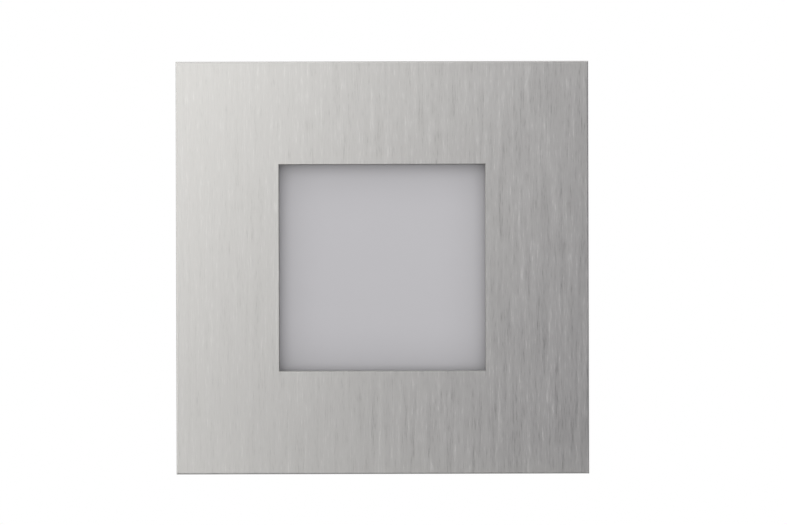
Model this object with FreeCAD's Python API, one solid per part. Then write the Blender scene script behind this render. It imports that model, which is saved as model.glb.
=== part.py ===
import FreeCAD, Part
import math
import os

# Square recessed step light: a brushed steel fascia with a square frosted window, carried by a finned
# die-cast housing that drops into a round hole in a wall and is held there by two sprung clips.
#
# Frame: X to the right, Z up, the window faces -Y. The origin is the middle of the wall's surface,
# where the back of the foam wall gasket presses. Whatever sits inside the wall has a positive Y.
# All sizes are in millimetres.

V = FreeCAD.Vector
ROOT_TWO = math.sqrt(2.0)

# ---- Fascia and window ----
WINDOW_SIDE = 50.0
FRAME_WIDTH = 25.0  # the steel on each side of the window
FASCIA_THICKNESS = 2.5
FASCIA_EDGE_RADIUS = 0.3
WINDOW_EDGE_CHAMFER = 0.15
GLASS_THICKNESS = 3.0
GLASS_OVERLAP = 2.5  # glass hidden behind the steel on each side
SEAL_LIP = 0.5
SEAL_WALL = 1.4
SEAL_FIT = 0.05  # between the glass edge and the seal
SEAL_LIP_SETBACK = 0.7  # the lip stays this far behind the window's edge
SEAL_LIP_CORNER = 1.0

# ---- Wall gasket and cut-out ----
GASKET_THICKNESS = 2.0
GASKET_INSET = 2.0
GASKET_CORNER = 2.0
CUTOUT_CLEARANCE = 1.0  # spigot to the wall's round hole

# ---- Housing ----
POCKET_CLEARANCE = 0.2  # seal to its pocket
POCKET_CORNER = 5.0
LEDGE_WIDTH = 2.2
RIM_WALL = 2.85  # metal left outside the pocket's corner
SPIGOT_DEPTH = 8.0
SPIGOT_WEB = 3.0  # front web that the fascia studs pass
RIM_THICKNESS = 2.0
COLLAR_WALL = 1.8
CORING_LENGTH = 36.0
CAN_WALL = 2.5
CAN_CORNER = 6.0
LIGHT_DEPTH = 14.4  # back of the window seal to the front of the LED board
PARTITION_THICKNESS = 3.0
DRIVER_ROOM = 22.5
FIN_PITCH = 3.2
FIN_THICKNESS = 1.4
FIN_COUNT = 15
FIN_FRONT_GAP = 2.0
FIN_HEIGHT_LIMIT = 8.0
ENVELOPE_MARGIN = 1.0  # fins and ears stay this far inside the spigot's radius
COVER_BOSS_RADIUS = 3.4
COVER_BOSS_INSET = 4.0

# ---- Fascia fixings ----
STUD_DIAMETER = 3.0
STUD_LENGTH = 7.0
STUD_HOLE_CLEARANCE = 0.2
STUD_X = 12.0
NUT_ACROSS_FLATS = 5.5
NUT_HEIGHT = 2.4
WASHER_THICKNESS = 0.5
WASHER_RADIUS = 2.9
DRIVER_CHANNEL_RADIUS = 4.2  # room for a nut driver between the fins

# ---- Sprung clips, one on each side ----
PIVOT_STANDOFF = 3.9  # pin axis to the can's side
PIVOT_BEHIND_SPIGOT = 10.0
PIN_DIAMETER = 2.5
PIN_FIT = 0.02
ARM_FIT = 0.05
PIN_HEAD_RADIUS = 2.1
PIN_HEAD_HEIGHT = 0.8
PIN_TAIL = 1.6
RING_THICKNESS = 0.5
RING_RADIUS = 2.4
RING_GAP = 0.25
RING_GROOVE_RADIUS = 0.95
RING_SLOT = 1.6
EAR_THICKNESS = 2.5
EAR_RADIUS = 3.0
EAR_GAP = 0.6
CLIP_SHEET = 0.8
ARM_HALF_WIDTH = 8.0
ARM_REACH = 14.5  # pivot to the start of the curled tip
ARM_HEEL = 1.7
ARM_REST_ANGLE = 25.0  # forward of square to the can
TIP_RADIUS = 2.4
TIP_TURN = 65.0
TIP_HALF_WIDTH = 6.0
CHEEK_RADIUS = 2.6
CHEEK_REACH = 8.0
SPRING_WIRE = 1.0
SPRING_RADIUS = 3.1
SPRING_TURNS = 4
SPRING_PITCH = 1.6
SPRING_BODY_LEG = 8.0
SPRING_ARM_LEG = 9.0
SPRING_TO_WEB = 0.3

# ---- Light source ----
LED_BOARD_CLEARANCE = 3.95
LED_BOARD_THICKNESS = 1.6
LED_BOARD_CORNER = 2.0
LED_ROWS = 4
LED_MARGIN = 1.25  # outermost LEDs to the reflector's throat
LED_LENGTH = 3.5
LED_WIDTH = 2.8
LED_HEIGHT = 0.7
LED_LENS_HEIGHT = 0.15
LED_LENS_RADIUS = 1.15
BOARD_SCREW_INSET = 2.5
PAD_INSET = 6.0
PAD_CORNER = 1.0
PAD_THICKNESS = 0.5
REFLECTOR_WALL = 1.2
REFLECTOR_FLANGE = 1.8
REFLECTOR_THROAT_CORNER = 1.0
REFLECTOR_CLEARANCE = 0.3
REFLECTOR_INSET = 8.0  # LED board's edge to the reflector's throat

# ---- Driver ----
DRIVER_BOARD_SIDE_GAP = 1.95
DRIVER_BOARD_END_GAP = 0.55  # to the cover bosses
DRIVER_BOARD_THICKNESS = 1.6
STANDOFF_HEIGHT = 4.0
STANDOFF_RADIUS = 2.5
STANDOFF_INSET_X = 3.5
STANDOFF_INSET_Z = 4.5
INSULATOR_THICKNESS = 0.4
INSULATOR_MARGIN = 1.0
TRANSFORMER_X = 7.5
TRANSFORMER_Z = -1.0
BASE_MARGIN = 1.0
BASE_DEPTH = 13.0
BASE_HEIGHT = 1.5
CORE_LENGTH = 14.0
CORE_DEPTH = 6.0
CORE_HEIGHT = 11.0
CORE_LEG = 2.2
CORE_YOKE = 1.8
CORE_CENTRE = 4.0
WINDING_GAP = 0.1
WINDING_DEPTH = 12.0
WINDING_CORNER = 2.0
INPUT_CAN_FROM_TERMINAL = 10.6
INPUT_CAN_FROM_EDGE = 7.5
INPUT_CAN_RADIUS = 4.0
INPUT_CAN_HEIGHT = 12.0
OUTPUT_CAN_FROM_CORE = 11.5
OUTPUT_CAN_Z = 6.5
OUTPUT_CAN_RADIUS = 3.15
OUTPUT_CAN_HEIGHT = 11.0
CAN_GROOVE_FOOT = 1.5
CAN_GROOVE_WIDTH = 0.7
CAN_GROOVE_DEPTH = 0.25
FILM_FROM_TERMINAL = 12.1
FILM_FROM_EDGE = 6.5
FILM_LENGTH = 13.0
FILM_WIDTH = 5.0
FILM_HEIGHT = 11.0
FILM_CORNER = 0.6
BRIDGE_FROM_CAN_X = 3.0
BRIDGE_FROM_CAN_Z = 8.0
BRIDGE_LENGTH = 6.5
BRIDGE_WIDTH = 4.0
BRIDGE_HEIGHT = 2.4
CHIP_X = -5.5
CHIP_Z = -5.0
CHIP_LENGTH = 5.0
CHIP_WIDTH = 4.0
CHIP_HEIGHT = 1.6
CHOKE_X = 3.0
CHOKE_FROM_EDGE = 6.0
CHOKE_RADIUS = 3.2
CHOKE_HEIGHT = 8.0
CHOKE_FLANGE = 1.2
CHOKE_WAIST = 0.5
FUSE_FROM_TERMINAL = 6.6
FUSE_Z = 3.0
FUSE_RADIUS = 1.6
FUSE_LENGTH = 6.5
VARISTOR_FROM_TERMINAL = 6.8
VARISTOR_FROM_FILM = 7.3
VARISTOR_RADIUS = 3.5
VARISTOR_THICKNESS = 3.2
TERMINAL_FROM_EDGE = 5.4
TERMINAL_PITCH = 5.0
TERMINAL_POLES = 3
TERMINAL_DEPTH = 8.0
TERMINAL_HEIGHT = 10.0
TERMINAL_WELL_RADIUS = 2.0
TERMINAL_WELL_DEPTH = 4.0
TERMINAL_SCREW_HEIGHT = 2.4
SCREW_SLOT = 0.6
WIRE_MOUTH = 3.2
WIRE_MOUTH_FOOT = 2.0
WIRE_MOUTH_DEPTH = 5.0
EARTH_BOSS_RADIUS = 3.0
EARTH_TAG_THICKNESS = 0.8
EARTH_NECK_WIDTH = 2.0
EARTH_BARREL_RADIUS = 1.3
EARTH_BARREL_LENGTH = 3.6
EARTH_BARREL_REACH = 7.2  # screw to the barrel's mouth
EARTH_LEAD_SIDE = 11.5  # screw to the lead's run down the board
EARTH_LEAD_START = 6.5

# ---- Screws: shank radius, head radius, head height, socket across flats ----
LARGE_SCREW = (1.5, 2.75, 2.0, 2.0)
SMALL_SCREW = (1.25, 2.2, 1.6, 1.5)
SCREW_FIT = 0.05
SCREW_CLEARANCE = 0.2  # where a screw passes through without biting
HOLE_TIP = 0.2  # a blind hole's depth past the screw
COVER_SCREW_BITE = 7.0
BOARD_SCREW_BITE = 2.4
DRIVER_SCREW_BITE = 3.6
EARTH_SCREW_BITE = 4.5

# ---- Internal leads ----
LEAD_DIAMETER = 1.3
LEAD_SPACING = 2.2
LEAD_HOLE_RADIUS = 2.8
LEAD_BEND = 2.0
LEAD_ON_DRIVER = 6.5
LEAD_ON_LED_BOARD = 5.4
LEAD_INSET = 3.95  # lead hole and earth boss to the chamber's wall
GROMMET_BORE_RADIUS = 2.2
GROMMET_FLANGE = 0.8
GROMMET_LIP = 0.7
EARTH_LEAD_DIAMETER = 1.8

# ---- Rear cover and gland ----
COVER_SEAL_THICKNESS = 1.0
COVER_SEAL_INSET = 0.15
COVER_SEAL_WIDTH = 3.6
COVER_THICKNESS = 3.0
COVER_EDGE = 0.8
COVER_BOSS_HEIGHT = 1.5
COVER_PAD_RADIUS = 10.5
GLAND_THREAD_DIAMETER = 12.0
GLAND_HOLE_CLEARANCE = 0.1
GLAND_THREAD_LENGTH = 10.0
GLAND_BORE_RADIUS = 3.9
GLAND_WASHER_THICKNESS = 1.5
GLAND_ACROSS_FLATS = 15.0
GLAND_HEX_HEIGHT = 5.0
GLAND_COLLET_LENGTH = 6.0
GLAND_NUT_GAP = 0.4
GLAND_NUT_LENGTH = 12.0
GLAND_NUT_HEX = 6.0
GLAND_NUT_MOUTH = 6.1
GLAND_NUT_TOP = 1.6
GLAND_NUT_FIT = 0.1
GLAND_SEAL_RADIUS = 4.75
GLAND_SEAL_LENGTH = 9.0
GLAND_SEAL_FIT = 0.05
CABLE_BORE_RADIUS = 3.25
CABLE_CLEARANCE = 0.4
LOCK_NUT_HEIGHT = 3.5
LOCK_NUT_FIT = 0.05
LOCK_NUT_ACROSS_FLATS = 15.0


def corner_reach(side, radius):
    """Distance from the axis to the rounded corner of a square."""
    return (side / 2 - radius) * ROOT_TWO + radius


# ---- Sizes across the light, worked out from the window outwards ----
fascia_side = WINDOW_SIDE + 2 * FRAME_WIDTH
glass_side = WINDOW_SIDE + 2 * GLASS_OVERLAP
seal_side = glass_side + 2 * (SEAL_WALL + SEAL_FIT)
pocket_side = seal_side + 2 * POCKET_CLEARANCE
seal_corner = POCKET_CORNER - POCKET_CLEARANCE
glass_corner = seal_corner - SEAL_WALL - SEAL_FIT
seal_opening = WINDOW_SIDE + 2 * SEAL_LIP_SETBACK
chamber_side = pocket_side - 2 * LEDGE_WIDTH
chamber_corner = CAN_CORNER - CAN_WALL
can_side = chamber_side + 2 * CAN_WALL
collar_half = pocket_side / 2 + COLLAR_WALL
spigot_radius = corner_reach(pocket_side, POCKET_CORNER) + RIM_WALL
rim_inner = spigot_radius - RIM_THICKNESS
cutout_radius = spigot_radius + CUTOUT_CLEARANCE
gasket_side = fascia_side - 2 * GASKET_INSET
envelope_radius = spigot_radius - ENVELOPE_MARGIN
boss_centre = chamber_side / 2 - COVER_BOSS_INSET
lead_line = chamber_side / 2 - LEAD_INSET
led_board_side = chamber_side - 2 * LED_BOARD_CLEARANCE
board_screw_line = led_board_side / 2 - BOARD_SCREW_INSET
throat = led_board_side - 2 * REFLECTOR_INSET
led_pitch = (throat - LED_LENGTH - 2 * LED_MARGIN) / (LED_ROWS - 1)
driver_board_x = chamber_side - 2 * DRIVER_BOARD_SIDE_GAP
driver_board_z = 2 * (boss_centre - COVER_BOSS_RADIUS - DRIVER_BOARD_END_GAP)
stud_z = (collar_half + math.sqrt(rim_inner**2 - STUD_X**2)) / 2
pivot_x = can_side / 2 + PIVOT_STANDOFF
gland_hole = GLAND_THREAD_DIAMETER / 2 + GLAND_HOLE_CLEARANCE
web_inner = SPRING_RADIUS + SPRING_WIRE / 2 + SPRING_TO_WEB
web_outer = web_inner + CLIP_SHEET
ear_inner = ARM_HALF_WIDTH + EAR_GAP
ear_outer = ear_inner + EAR_THICKNESS

# ---- Places on the driver board, as X and Z ----
terminal_x = TERMINAL_FROM_EDGE - driver_board_x / 2
transformer_at = (TRANSFORMER_X, TRANSFORMER_Z)
input_can_at = (terminal_x + INPUT_CAN_FROM_TERMINAL, driver_board_z / 2 - INPUT_CAN_FROM_EDGE)
output_can_at = (TRANSFORMER_X + OUTPUT_CAN_FROM_CORE, OUTPUT_CAN_Z)
film_at = (terminal_x + FILM_FROM_TERMINAL, FILM_FROM_EDGE - driver_board_z / 2)
bridge_at = (input_can_at[0] + BRIDGE_FROM_CAN_X, input_can_at[1] - BRIDGE_FROM_CAN_Z)
chip_at = (CHIP_X, CHIP_Z)
choke_at = (CHOKE_X, driver_board_z / 2 - CHOKE_FROM_EDGE)
fuse_at = (terminal_x + FUSE_FROM_TERMINAL, FUSE_Z)
varistor_at = (terminal_x + VARISTOR_FROM_TERMINAL, film_at[1] + VARISTOR_FROM_FILM)

# ---- Stations along Y, worked out from the wall inwards and outwards ----
wall_y = 0.0
fascia_back = wall_y - GASKET_THICKNESS
fascia_front = fascia_back - FASCIA_THICKNESS
glass_front = fascia_back + SEAL_LIP
glass_back = glass_front + GLASS_THICKNESS
seal_back = glass_back + SEAL_LIP
web_back = fascia_back + SPIGOT_WEB
spigot_back = fascia_back + SPIGOT_DEPTH
led_board_front = seal_back + LIGHT_DEPTH
led_face = led_board_front - LED_HEIGHT
led_board_back = led_board_front + LED_BOARD_THICKNESS
partition_front = led_board_back + PAD_THICKNESS
partition_back = partition_front + PARTITION_THICKNESS
can_back = partition_back + DRIVER_ROOM
cover_front = can_back + COVER_SEAL_THICKNESS
cover_back = cover_front + COVER_THICKNESS
boss_back = cover_back + COVER_BOSS_HEIGHT
gland_seat = boss_back + GLAND_WASHER_THICKNESS
gland_hex_back = gland_seat + GLAND_HEX_HEIGHT
collet_end = gland_hex_back + GLAND_COLLET_LENGTH
gland_nut_front = gland_hex_back + GLAND_NUT_GAP
gland_nut_back = gland_nut_front + GLAND_NUT_LENGTH
pivot_y = spigot_back + PIVOT_BEHIND_SPIGOT
driver_board_front = partition_back + STANDOFF_HEIGHT
driver_board_back = driver_board_front + DRIVER_BOARD_THICKNESS
earth_lead_y = driver_board_back + EARTH_LEAD_DIAMETER / 2
earth_seat = earth_lead_y - EARTH_TAG_THICKNESS / 2


# ---- Building blocks ----
def block(x, y, z):
    """A box between pairs of limits along X, Y and Z."""
    return Part.makeBox(x[1] - x[0], y[1] - y[0], z[1] - z[0], V(x[0], y[0], z[0]))


def rod(radius, y0, y1, x=0.0, z=0.0):
    """A cylinder along Y."""
    return Part.makeCylinder(radius, y1 - y0, V(x, y0, z), V(0, 1, 0))


def tube(outer, inner, y0, y1, x=0.0, z=0.0):
    """A round tube along Y."""
    return rod(outer, y0, y1, x, z).cut(rod(inner, y0, y1, x, z))


def post(radius, z0, z1, x=0.0, y=0.0):
    """A cylinder along Z."""
    return Part.makeCylinder(radius, z1 - z0, V(x, y, z0), V(0, 0, 1))


def square_wire(side, corner, y):
    """A square outline with round corners, centred on the Y axis."""
    h, r = side / 2, corner
    k = r * (1 - 1 / ROOT_TWO)
    edges = []
    for sx, sz in ((1, 1), (-1, 1), (-1, -1), (1, -1)):
        first = V(sx * h, y, sz * (h - r)) if sx == sz else V(sx * (h - r), y, sz * h)
        last = V(sx * (h - r), y, sz * h) if sx == sz else V(sx * h, y, sz * (h - r))
        middle = V(sx * (h - k), y, sz * (h - k))
        edges.append(Part.Arc(first, middle, last).toShape())
        following = {(1, 1): (-1, 1), (-1, 1): (-1, -1), (-1, -1): (1, -1), (1, -1): (1, 1)}[(sx, sz)]
        fx, fz = following
        start = V(fx * h, y, fz * (h - r)) if fx == fz else V(fx * (h - r), y, fz * h)
        edges.append(Part.LineSegment(last, start).toShape())
    return Part.Wire(edges)


def square_prism(side, corner, y0, y1):
    """A prism along Y on a square with round corners."""
    return Part.Face(square_wire(side, corner, y0)).extrude(V(0, y1 - y0, 0))


def polygon_prism(points, extrusion):
    """A prism on a closed polygon."""
    return Part.Face(Part.makePolygon(points + [points[0]])).extrude(extrusion)


def hex_prism(across_flats, y0, y1, x=0.0, z=0.0, first_corner=0.0):
    """A hexagonal prism along Y, its first corner at an angle from +X in degrees."""
    reach = across_flats / math.sqrt(3)
    corners = [math.radians(first_corner + 60 * i) for i in range(6)]
    points = [V(x + reach * math.cos(a), y0, z + reach * math.sin(a)) for a in corners]
    return polygon_prism(points, V(0, y1 - y0, 0))


def edges_at(shape, y):
    """The edges that lie in one plane across Y."""
    return [e for e in shape.Edges if abs(e.BoundBox.YMin - y) < 1e-6 and abs(e.BoundBox.YMax - y) < 1e-6]


def edges_along(shape):
    """The edges that run along Y."""
    return [e for e in shape.Edges if e.BoundBox.XLength < 1e-6 and e.BoundBox.ZLength < 1e-6]


def reach_of(edge):
    """How far an edge goes from the Y axis, to the side or up and down."""
    b = edge.BoundBox
    return max(abs(b.XMin), abs(b.XMax), abs(b.ZMin), abs(b.ZMax))


def corner_places(across, up):
    """Four places, one in each quarter."""
    return [(sx * across, sz * up) for sx in (-1, 1) for sz in (-1, 1)]


def square_places(reach):
    return corner_places(reach, reach)


def stud_places():
    return corner_places(STUD_X, stud_z)


def standoff_places():
    return corner_places(driver_board_x / 2 - STANDOFF_INSET_X, driver_board_z / 2 - STANDOFF_INSET_Z)


def half_turn(shape):
    """The same piece on the other side: turned half a turn about the Y axis."""
    turned = shape.copy()
    turned.rotate(V(0, 0, 0), V(0, 1, 0), 180)
    return turned


def pan_screw(x, z, under_head, tip, size):
    """A pan-head socket screw along Y, its head on the far side of under_head from its tip."""
    shank_radius, head_radius, head_height, socket = size
    way = 1 if tip < under_head else -1
    top = under_head + way * head_height
    low, high = sorted((under_head, top))
    head = rod(head_radius, low, high, x, z)
    head = head.makeFillet(head_height * 0.4, edges_at(head, top))
    low, high = sorted((under_head, tip))
    screw = head.fuse(rod(shank_radius, low, high, x, z)).removeSplitter()
    floor = top - way * head_height * 0.6
    low, high = sorted((floor, top + way))
    return screw.cut(hex_prism(socket, low, high, x, z))


def biarc(start, start_way, end, end_way):
    """Two tangent arcs in space between two points with given directions."""
    chord = end - start
    ways = start_way + end_way
    a = ways.dot(ways) - 4.0
    b = -2.0 * chord.dot(ways)
    c = chord.dot(chord)
    reach = (-b - math.sqrt(b * b - 4 * a * c)) / (2 * a) if abs(a) > 1e-9 else -c / b
    first = start + start_way * reach
    second = end - end_way * reach
    joint = (first + second) * 0.5
    arcs = []
    for p, corner, q in ((start, first, joint), (joint, second, end)):
        half = (q - p).Length / 2
        middle = (p + q) * 0.5
        rise = (corner - middle).Length
        leg = (corner - p).Length
        sagitta = half * (leg - half) / rise if rise > 1e-9 else 0.0
        way = (corner - middle) * (1.0 / rise) if rise > 1e-9 else V(0, 0, 0)
        arcs.append(Part.Arc(p, middle + way * sagitta, q).toShape())
    return arcs


def sweep_round(edges, radius, start, way):
    """A round tube along a chain of edges."""
    circle = Part.Wire([Part.Circle(start, way, radius).toShape()])
    return Part.Wire(edges).makePipeShell([circle], True, False)


def least_gap(edges, diameter, apart):
    """The least gap between stretches of one round tube that lie a length apart along it."""
    points, marks, run = [], [], 0.0
    for edge in edges:
        count = math.ceil(edge.Length / (diameter / 4))
        step = (edge.LastParameter - edge.FirstParameter) / count
        for i in range(count):
            points.append(edge.valueAt(edge.FirstParameter + i * step))
            marks.append(run + edge.Length * i / count)
        run += edge.Length
    pairs = ((i, j) for i in range(len(points)) for j in range(i) if marks[i] - marks[j] > apart)
    return min((points[i] - points[j]).Length for i, j in pairs) - diameter


def bent_lead(points, diameter, bend):
    """An insulated lead: straight runs joined by tangent arcs."""
    edges, at = [], points[0]
    for before, corner, after in zip(points, points[1:], points[2:]):
        back = (before - corner).normalize()
        on = (after - corner).normalize()
        half = back.getAngle(on) / 2
        cut = bend / math.tan(half)
        first, last = corner + back * cut, corner + on * cut
        inward = (back + on).normalize()
        middle = corner + inward * (bend / math.sin(half) - bend)
        edges.append(Part.LineSegment(at, first).toShape())
        edges.append(Part.Arc(first, middle, last).toShape())
        at = last
    edges.append(Part.LineSegment(at, points[-1]).toShape())
    lead = sweep_round(edges, diameter / 2, points[0], points[1] - points[0])
    length = sum(e.Length for e in edges)
    share = lead.Volume / (math.pi * diameter**2 / 4 * length)
    print(f"lead of {diameter} mm: {length:.1f} mm long, bends of {bend} mm, volume share {share:.4f}")
    return lead


# ---- Front of the light ----
def fascia():
    half, window = fascia_side / 2, WINDOW_SIDE / 2
    plate = block((-half, half), (fascia_front, fascia_back), (-half, half))
    plate = plate.makeFillet(FASCIA_EDGE_RADIUS, edges_at(plate, fascia_front))
    plate = plate.cut(block((-window, window), (fascia_front - 1, fascia_back + 1), (-window, window)))
    lip = [e for e in edges_at(plate, fascia_front) if reach_of(e) < window + 1e-6]
    return plate.makeChamfer(WINDOW_EDGE_CHAMFER, lip)


def fascia_studs():
    return [rod(STUD_DIAMETER / 2, fascia_back, fascia_back + STUD_LENGTH, x, z) for x, z in stud_places()]


def fascia_washers():
    bore = STUD_DIAMETER / 2 + STUD_HOLE_CLEARANCE
    return [tube(WASHER_RADIUS, bore, web_back, web_back + WASHER_THICKNESS, x, z) for x, z in stud_places()]


def fascia_nuts():
    seat = web_back + WASHER_THICKNESS
    nuts = []
    for x, z in stud_places():
        bore = rod(STUD_DIAMETER / 2 + SCREW_FIT, seat, seat + NUT_HEIGHT, x, z)
        nuts.append(hex_prism(NUT_ACROSS_FLATS, seat, seat + NUT_HEIGHT, x, z).cut(bore))
    return nuts


def wall_gasket():
    gasket = square_prism(gasket_side, GASKET_CORNER, fascia_back, wall_y)
    return gasket.cut(rod(cutout_radius, fascia_back, wall_y))


def window_glass():
    return square_prism(glass_side, glass_corner, glass_front, glass_back)


def window_seal():
    channel = square_prism(glass_side + 2 * SEAL_FIT, glass_corner + SEAL_FIT, glass_front, glass_back)
    opening = square_prism(seal_opening, SEAL_LIP_CORNER, fascia_back, seal_back)
    return square_prism(seal_side, seal_corner, fascia_back, seal_back).cut(channel).cut(opening)


# ---- Housing ----
def coring():
    """One of the four pockets cored out behind the spigot's front web, at the top."""
    span = (-CORING_LENGTH / 2, CORING_LENGTH / 2)
    return block(span, (web_back, spigot_back), (collar_half, spigot_radius)).common(
        rod(rim_inner, web_back, spigot_back)
    )


def fins():
    """Cooling fins on the top, following the round envelope and leaving channels for the nut driver."""
    made = []
    for i in range(FIN_COUNT):
        x = (i - (FIN_COUNT - 1) / 2) * FIN_PITCH
        if abs(abs(x) - STUD_X) < DRIVER_CHANNEL_RADIUS:
            continue
        reach = abs(x) + FIN_THICKNESS / 2
        top = min(math.sqrt(envelope_radius**2 - reach**2), can_side / 2 + FIN_HEIGHT_LIMIT)
        sides = (x - FIN_THICKNESS / 2, x + FIN_THICKNESS / 2)
        made.append(block(sides, (spigot_back + FIN_FRONT_GAP, can_back), (can_side / 2 - 1, top)))
    return made


def clip_ears():
    """The two cast ears that carry one clip's pin, on the +X side."""
    made = []
    for low, high in ((ear_inner, ear_outer), (-ear_outer, -ear_inner)):
        ear = block((can_side / 2 - 1, pivot_x), (pivot_y - EAR_RADIUS, pivot_y + EAR_RADIUS), (low, high))
        ear = ear.fuse(post(EAR_RADIUS, low, high, pivot_x, pivot_y))
        made.append(ear.cut(post(PIN_DIAMETER / 2 + PIN_FIT, low, high, pivot_x, pivot_y)))
    return made


def cover_bosses():
    """Corner blocks in the driver room that take the cover screws."""
    near, far = boss_centre - COVER_BOSS_RADIUS, chamber_side / 2 + 1
    ys = (partition_back - 1, can_back)
    corner = rod(COVER_BOSS_RADIUS, *ys, boss_centre, boss_centre)
    corner = corner.fuse(block((boss_centre, far), ys, (near, far)))
    corner = corner.fuse(block((near, far), ys, (boss_centre, far)))
    corner = corner.common(square_prism(can_side, CAN_CORNER, *ys))
    made = []
    for quarter in range(4):
        boss = corner.copy()
        boss.rotate(V(0, 0, 0), V(0, 1, 0), 90 * quarter)
        made.append(boss)
    return made


def housing():
    body = rod(spigot_radius, fascia_back, spigot_back)
    body = body.fuse(square_prism(can_side, CAN_CORNER, spigot_back - 1, can_back))
    for fin in fins():
        body = body.fuse(fin).fuse(half_turn(fin))
    body = body.cut(square_prism(pocket_side, POCKET_CORNER, fascia_back - 1, seal_back))
    body = body.cut(square_prism(chamber_side, chamber_corner, seal_back - 1, partition_front))
    body = body.cut(square_prism(chamber_side, chamber_corner, partition_back, can_back + 1))
    for quarter in range(4):
        pocket = coring()
        pocket.rotate(V(0, 0, 0), V(0, 1, 0), 90 * quarter)
        body = body.cut(pocket)
    for ear in clip_ears():
        body = body.fuse(ear).fuse(half_turn(ear))
    for boss in cover_bosses():
        body = body.fuse(boss)
    for x, z in standoff_places():
        body = body.fuse(rod(STANDOFF_RADIUS, partition_back - 1, driver_board_front, x, z))
    body = body.fuse(rod(EARTH_BOSS_RADIUS, partition_back - 1, earth_seat, 0, -lead_line))
    for x, z in stud_places():
        body = body.cut(rod(STUD_DIAMETER / 2 + STUD_HOLE_CLEARANCE, fascia_back - 1, web_back + 1, x, z))
    large, small = LARGE_SCREW[0] + SCREW_FIT, SMALL_SCREW[0] + SCREW_FIT
    for x, z in square_places(boss_centre):
        body = body.cut(rod(large, can_back - COVER_SCREW_BITE - HOLE_TIP, can_back + 1, x, z))
    for x, z in square_places(board_screw_line):
        body = body.cut(rod(small, partition_front - 1, partition_front + BOARD_SCREW_BITE + HOLE_TIP, x, z))
    floor = driver_board_front - DRIVER_SCREW_BITE - HOLE_TIP
    for x, z in standoff_places():
        body = body.cut(rod(small, floor, driver_board_front + 1, x, z))
    body = body.cut(rod(large, earth_seat - EARTH_SCREW_BITE - HOLE_TIP, earth_seat + 1, 0, -lead_line))
    body = body.cut(rod(LEAD_HOLE_RADIUS, partition_front - 1, partition_back + 1, 0, lead_line))
    return body.removeSplitter()


# ---- Screws ----
def cover_screws():
    tip = can_back - COVER_SCREW_BITE
    return [pan_screw(x, z, cover_back, tip, LARGE_SCREW) for x, z in square_places(boss_centre)]


def led_board_screws():
    tip = partition_front + BOARD_SCREW_BITE
    return [pan_screw(x, z, led_board_front, tip, SMALL_SCREW) for x, z in square_places(board_screw_line)]


def driver_screws():
    tip = driver_board_front - DRIVER_SCREW_BITE
    return [pan_screw(x, z, driver_board_back, tip, SMALL_SCREW) for x, z in standoff_places()]


def earth_screw():
    seat = earth_seat + EARTH_TAG_THICKNESS
    return pan_screw(0, -lead_line, seat, earth_seat - EARTH_SCREW_BITE, LARGE_SCREW)


# ---- Sprung clips, built on the +X side ----
def in_clip_frame(shape):
    """Puts a shape drawn with X along the arm and Y towards its wall side at the pivot, at rest."""
    shape.rotate(V(0, 0, 0), V(1, 0, 0), 180)
    shape.rotate(V(0, 0, 0), V(0, 0, 1), -ARM_REST_ANGLE)
    shape.translate(V(pivot_x, pivot_y, 0))
    return shape


def clip_arm():
    wide, narrow = ARM_HALF_WIDTH, TIP_HALF_WIDTH
    web = block((-ARM_HEEL, ARM_REACH), (web_inner, web_outer), (-wide, wide))
    centre = V(ARM_REACH, web_outer - TIP_RADIUS, -wide)
    turn = math.radians(TIP_TURN)

    def at(radius, angle):
        return centre + V(radius * math.sin(angle), radius * math.cos(angle), 0)

    inner = TIP_RADIUS - CLIP_SHEET
    curl = Part.Wire(
        [
            Part.Arc(at(TIP_RADIUS, 0), at(TIP_RADIUS, turn / 2), at(TIP_RADIUS, turn)).toShape(),
            Part.LineSegment(at(TIP_RADIUS, turn), at(inner, turn)).toShape(),
            Part.Arc(at(inner, turn), at(inner, turn / 2), at(inner, 0)).toShape(),
            Part.LineSegment(at(inner, 0), at(TIP_RADIUS, 0)).toShape(),
        ]
    )
    arm = web.fuse(Part.Face(curl).extrude(V(0, 0, 2 * wide)))
    trim_start, trim_end = CHEEK_REACH + 1.0, ARM_REACH + TIP_RADIUS + 1.0
    for side in (-1, 1):
        trim = ((trim_start, wide + 1), (trim_start, wide), (trim_end, narrow), (trim_end, wide + 1))
        corner = [V(x, 0, side * z) for x, z in trim]
        arm = arm.cut(polygon_prism(corner, V(0, web_outer + 1, 0)))
    foot = CHEEK_RADIUS * 0.6
    outline = [
        V(-ARM_HEEL, web_outer, 0),
        V(CHEEK_REACH, web_outer, 0),
        V(CHEEK_REACH, web_inner - CLIP_SHEET, 0),
        V(foot * 1.3, -foot, 0),
        V(-foot * 1.3, -foot, 0),
    ]
    for low in (-wide, wide - CLIP_SHEET):
        cheek = polygon_prism(outline, V(0, 0, CLIP_SHEET)).fuse(post(CHEEK_RADIUS, 0, CLIP_SHEET))
        cheek.translate(V(0, 0, low))
        arm = arm.fuse(cheek)
    return in_clip_frame(arm.cut(post(PIN_DIAMETER / 2 + ARM_FIT, -wide - 1, wide + 1)).removeSplitter())


def clip_pin():
    low = -ear_outer - PIN_TAIL
    pin = post(PIN_DIAMETER / 2, low, ear_outer + PIN_HEAD_HEIGHT, pivot_x, pivot_y)
    pin = pin.fuse(post(PIN_HEAD_RADIUS, ear_outer, ear_outer + PIN_HEAD_HEIGHT, pivot_x, pivot_y))
    groove_top = -ear_outer - RING_GAP
    groove_low = groove_top - RING_THICKNESS - RING_GAP / 2
    groove = post(PIN_DIAMETER, groove_low, groove_top, pivot_x, pivot_y)
    return pin.cut(groove.cut(post(RING_GROOVE_RADIUS, groove_low, groove_top, pivot_x, pivot_y)))


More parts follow.
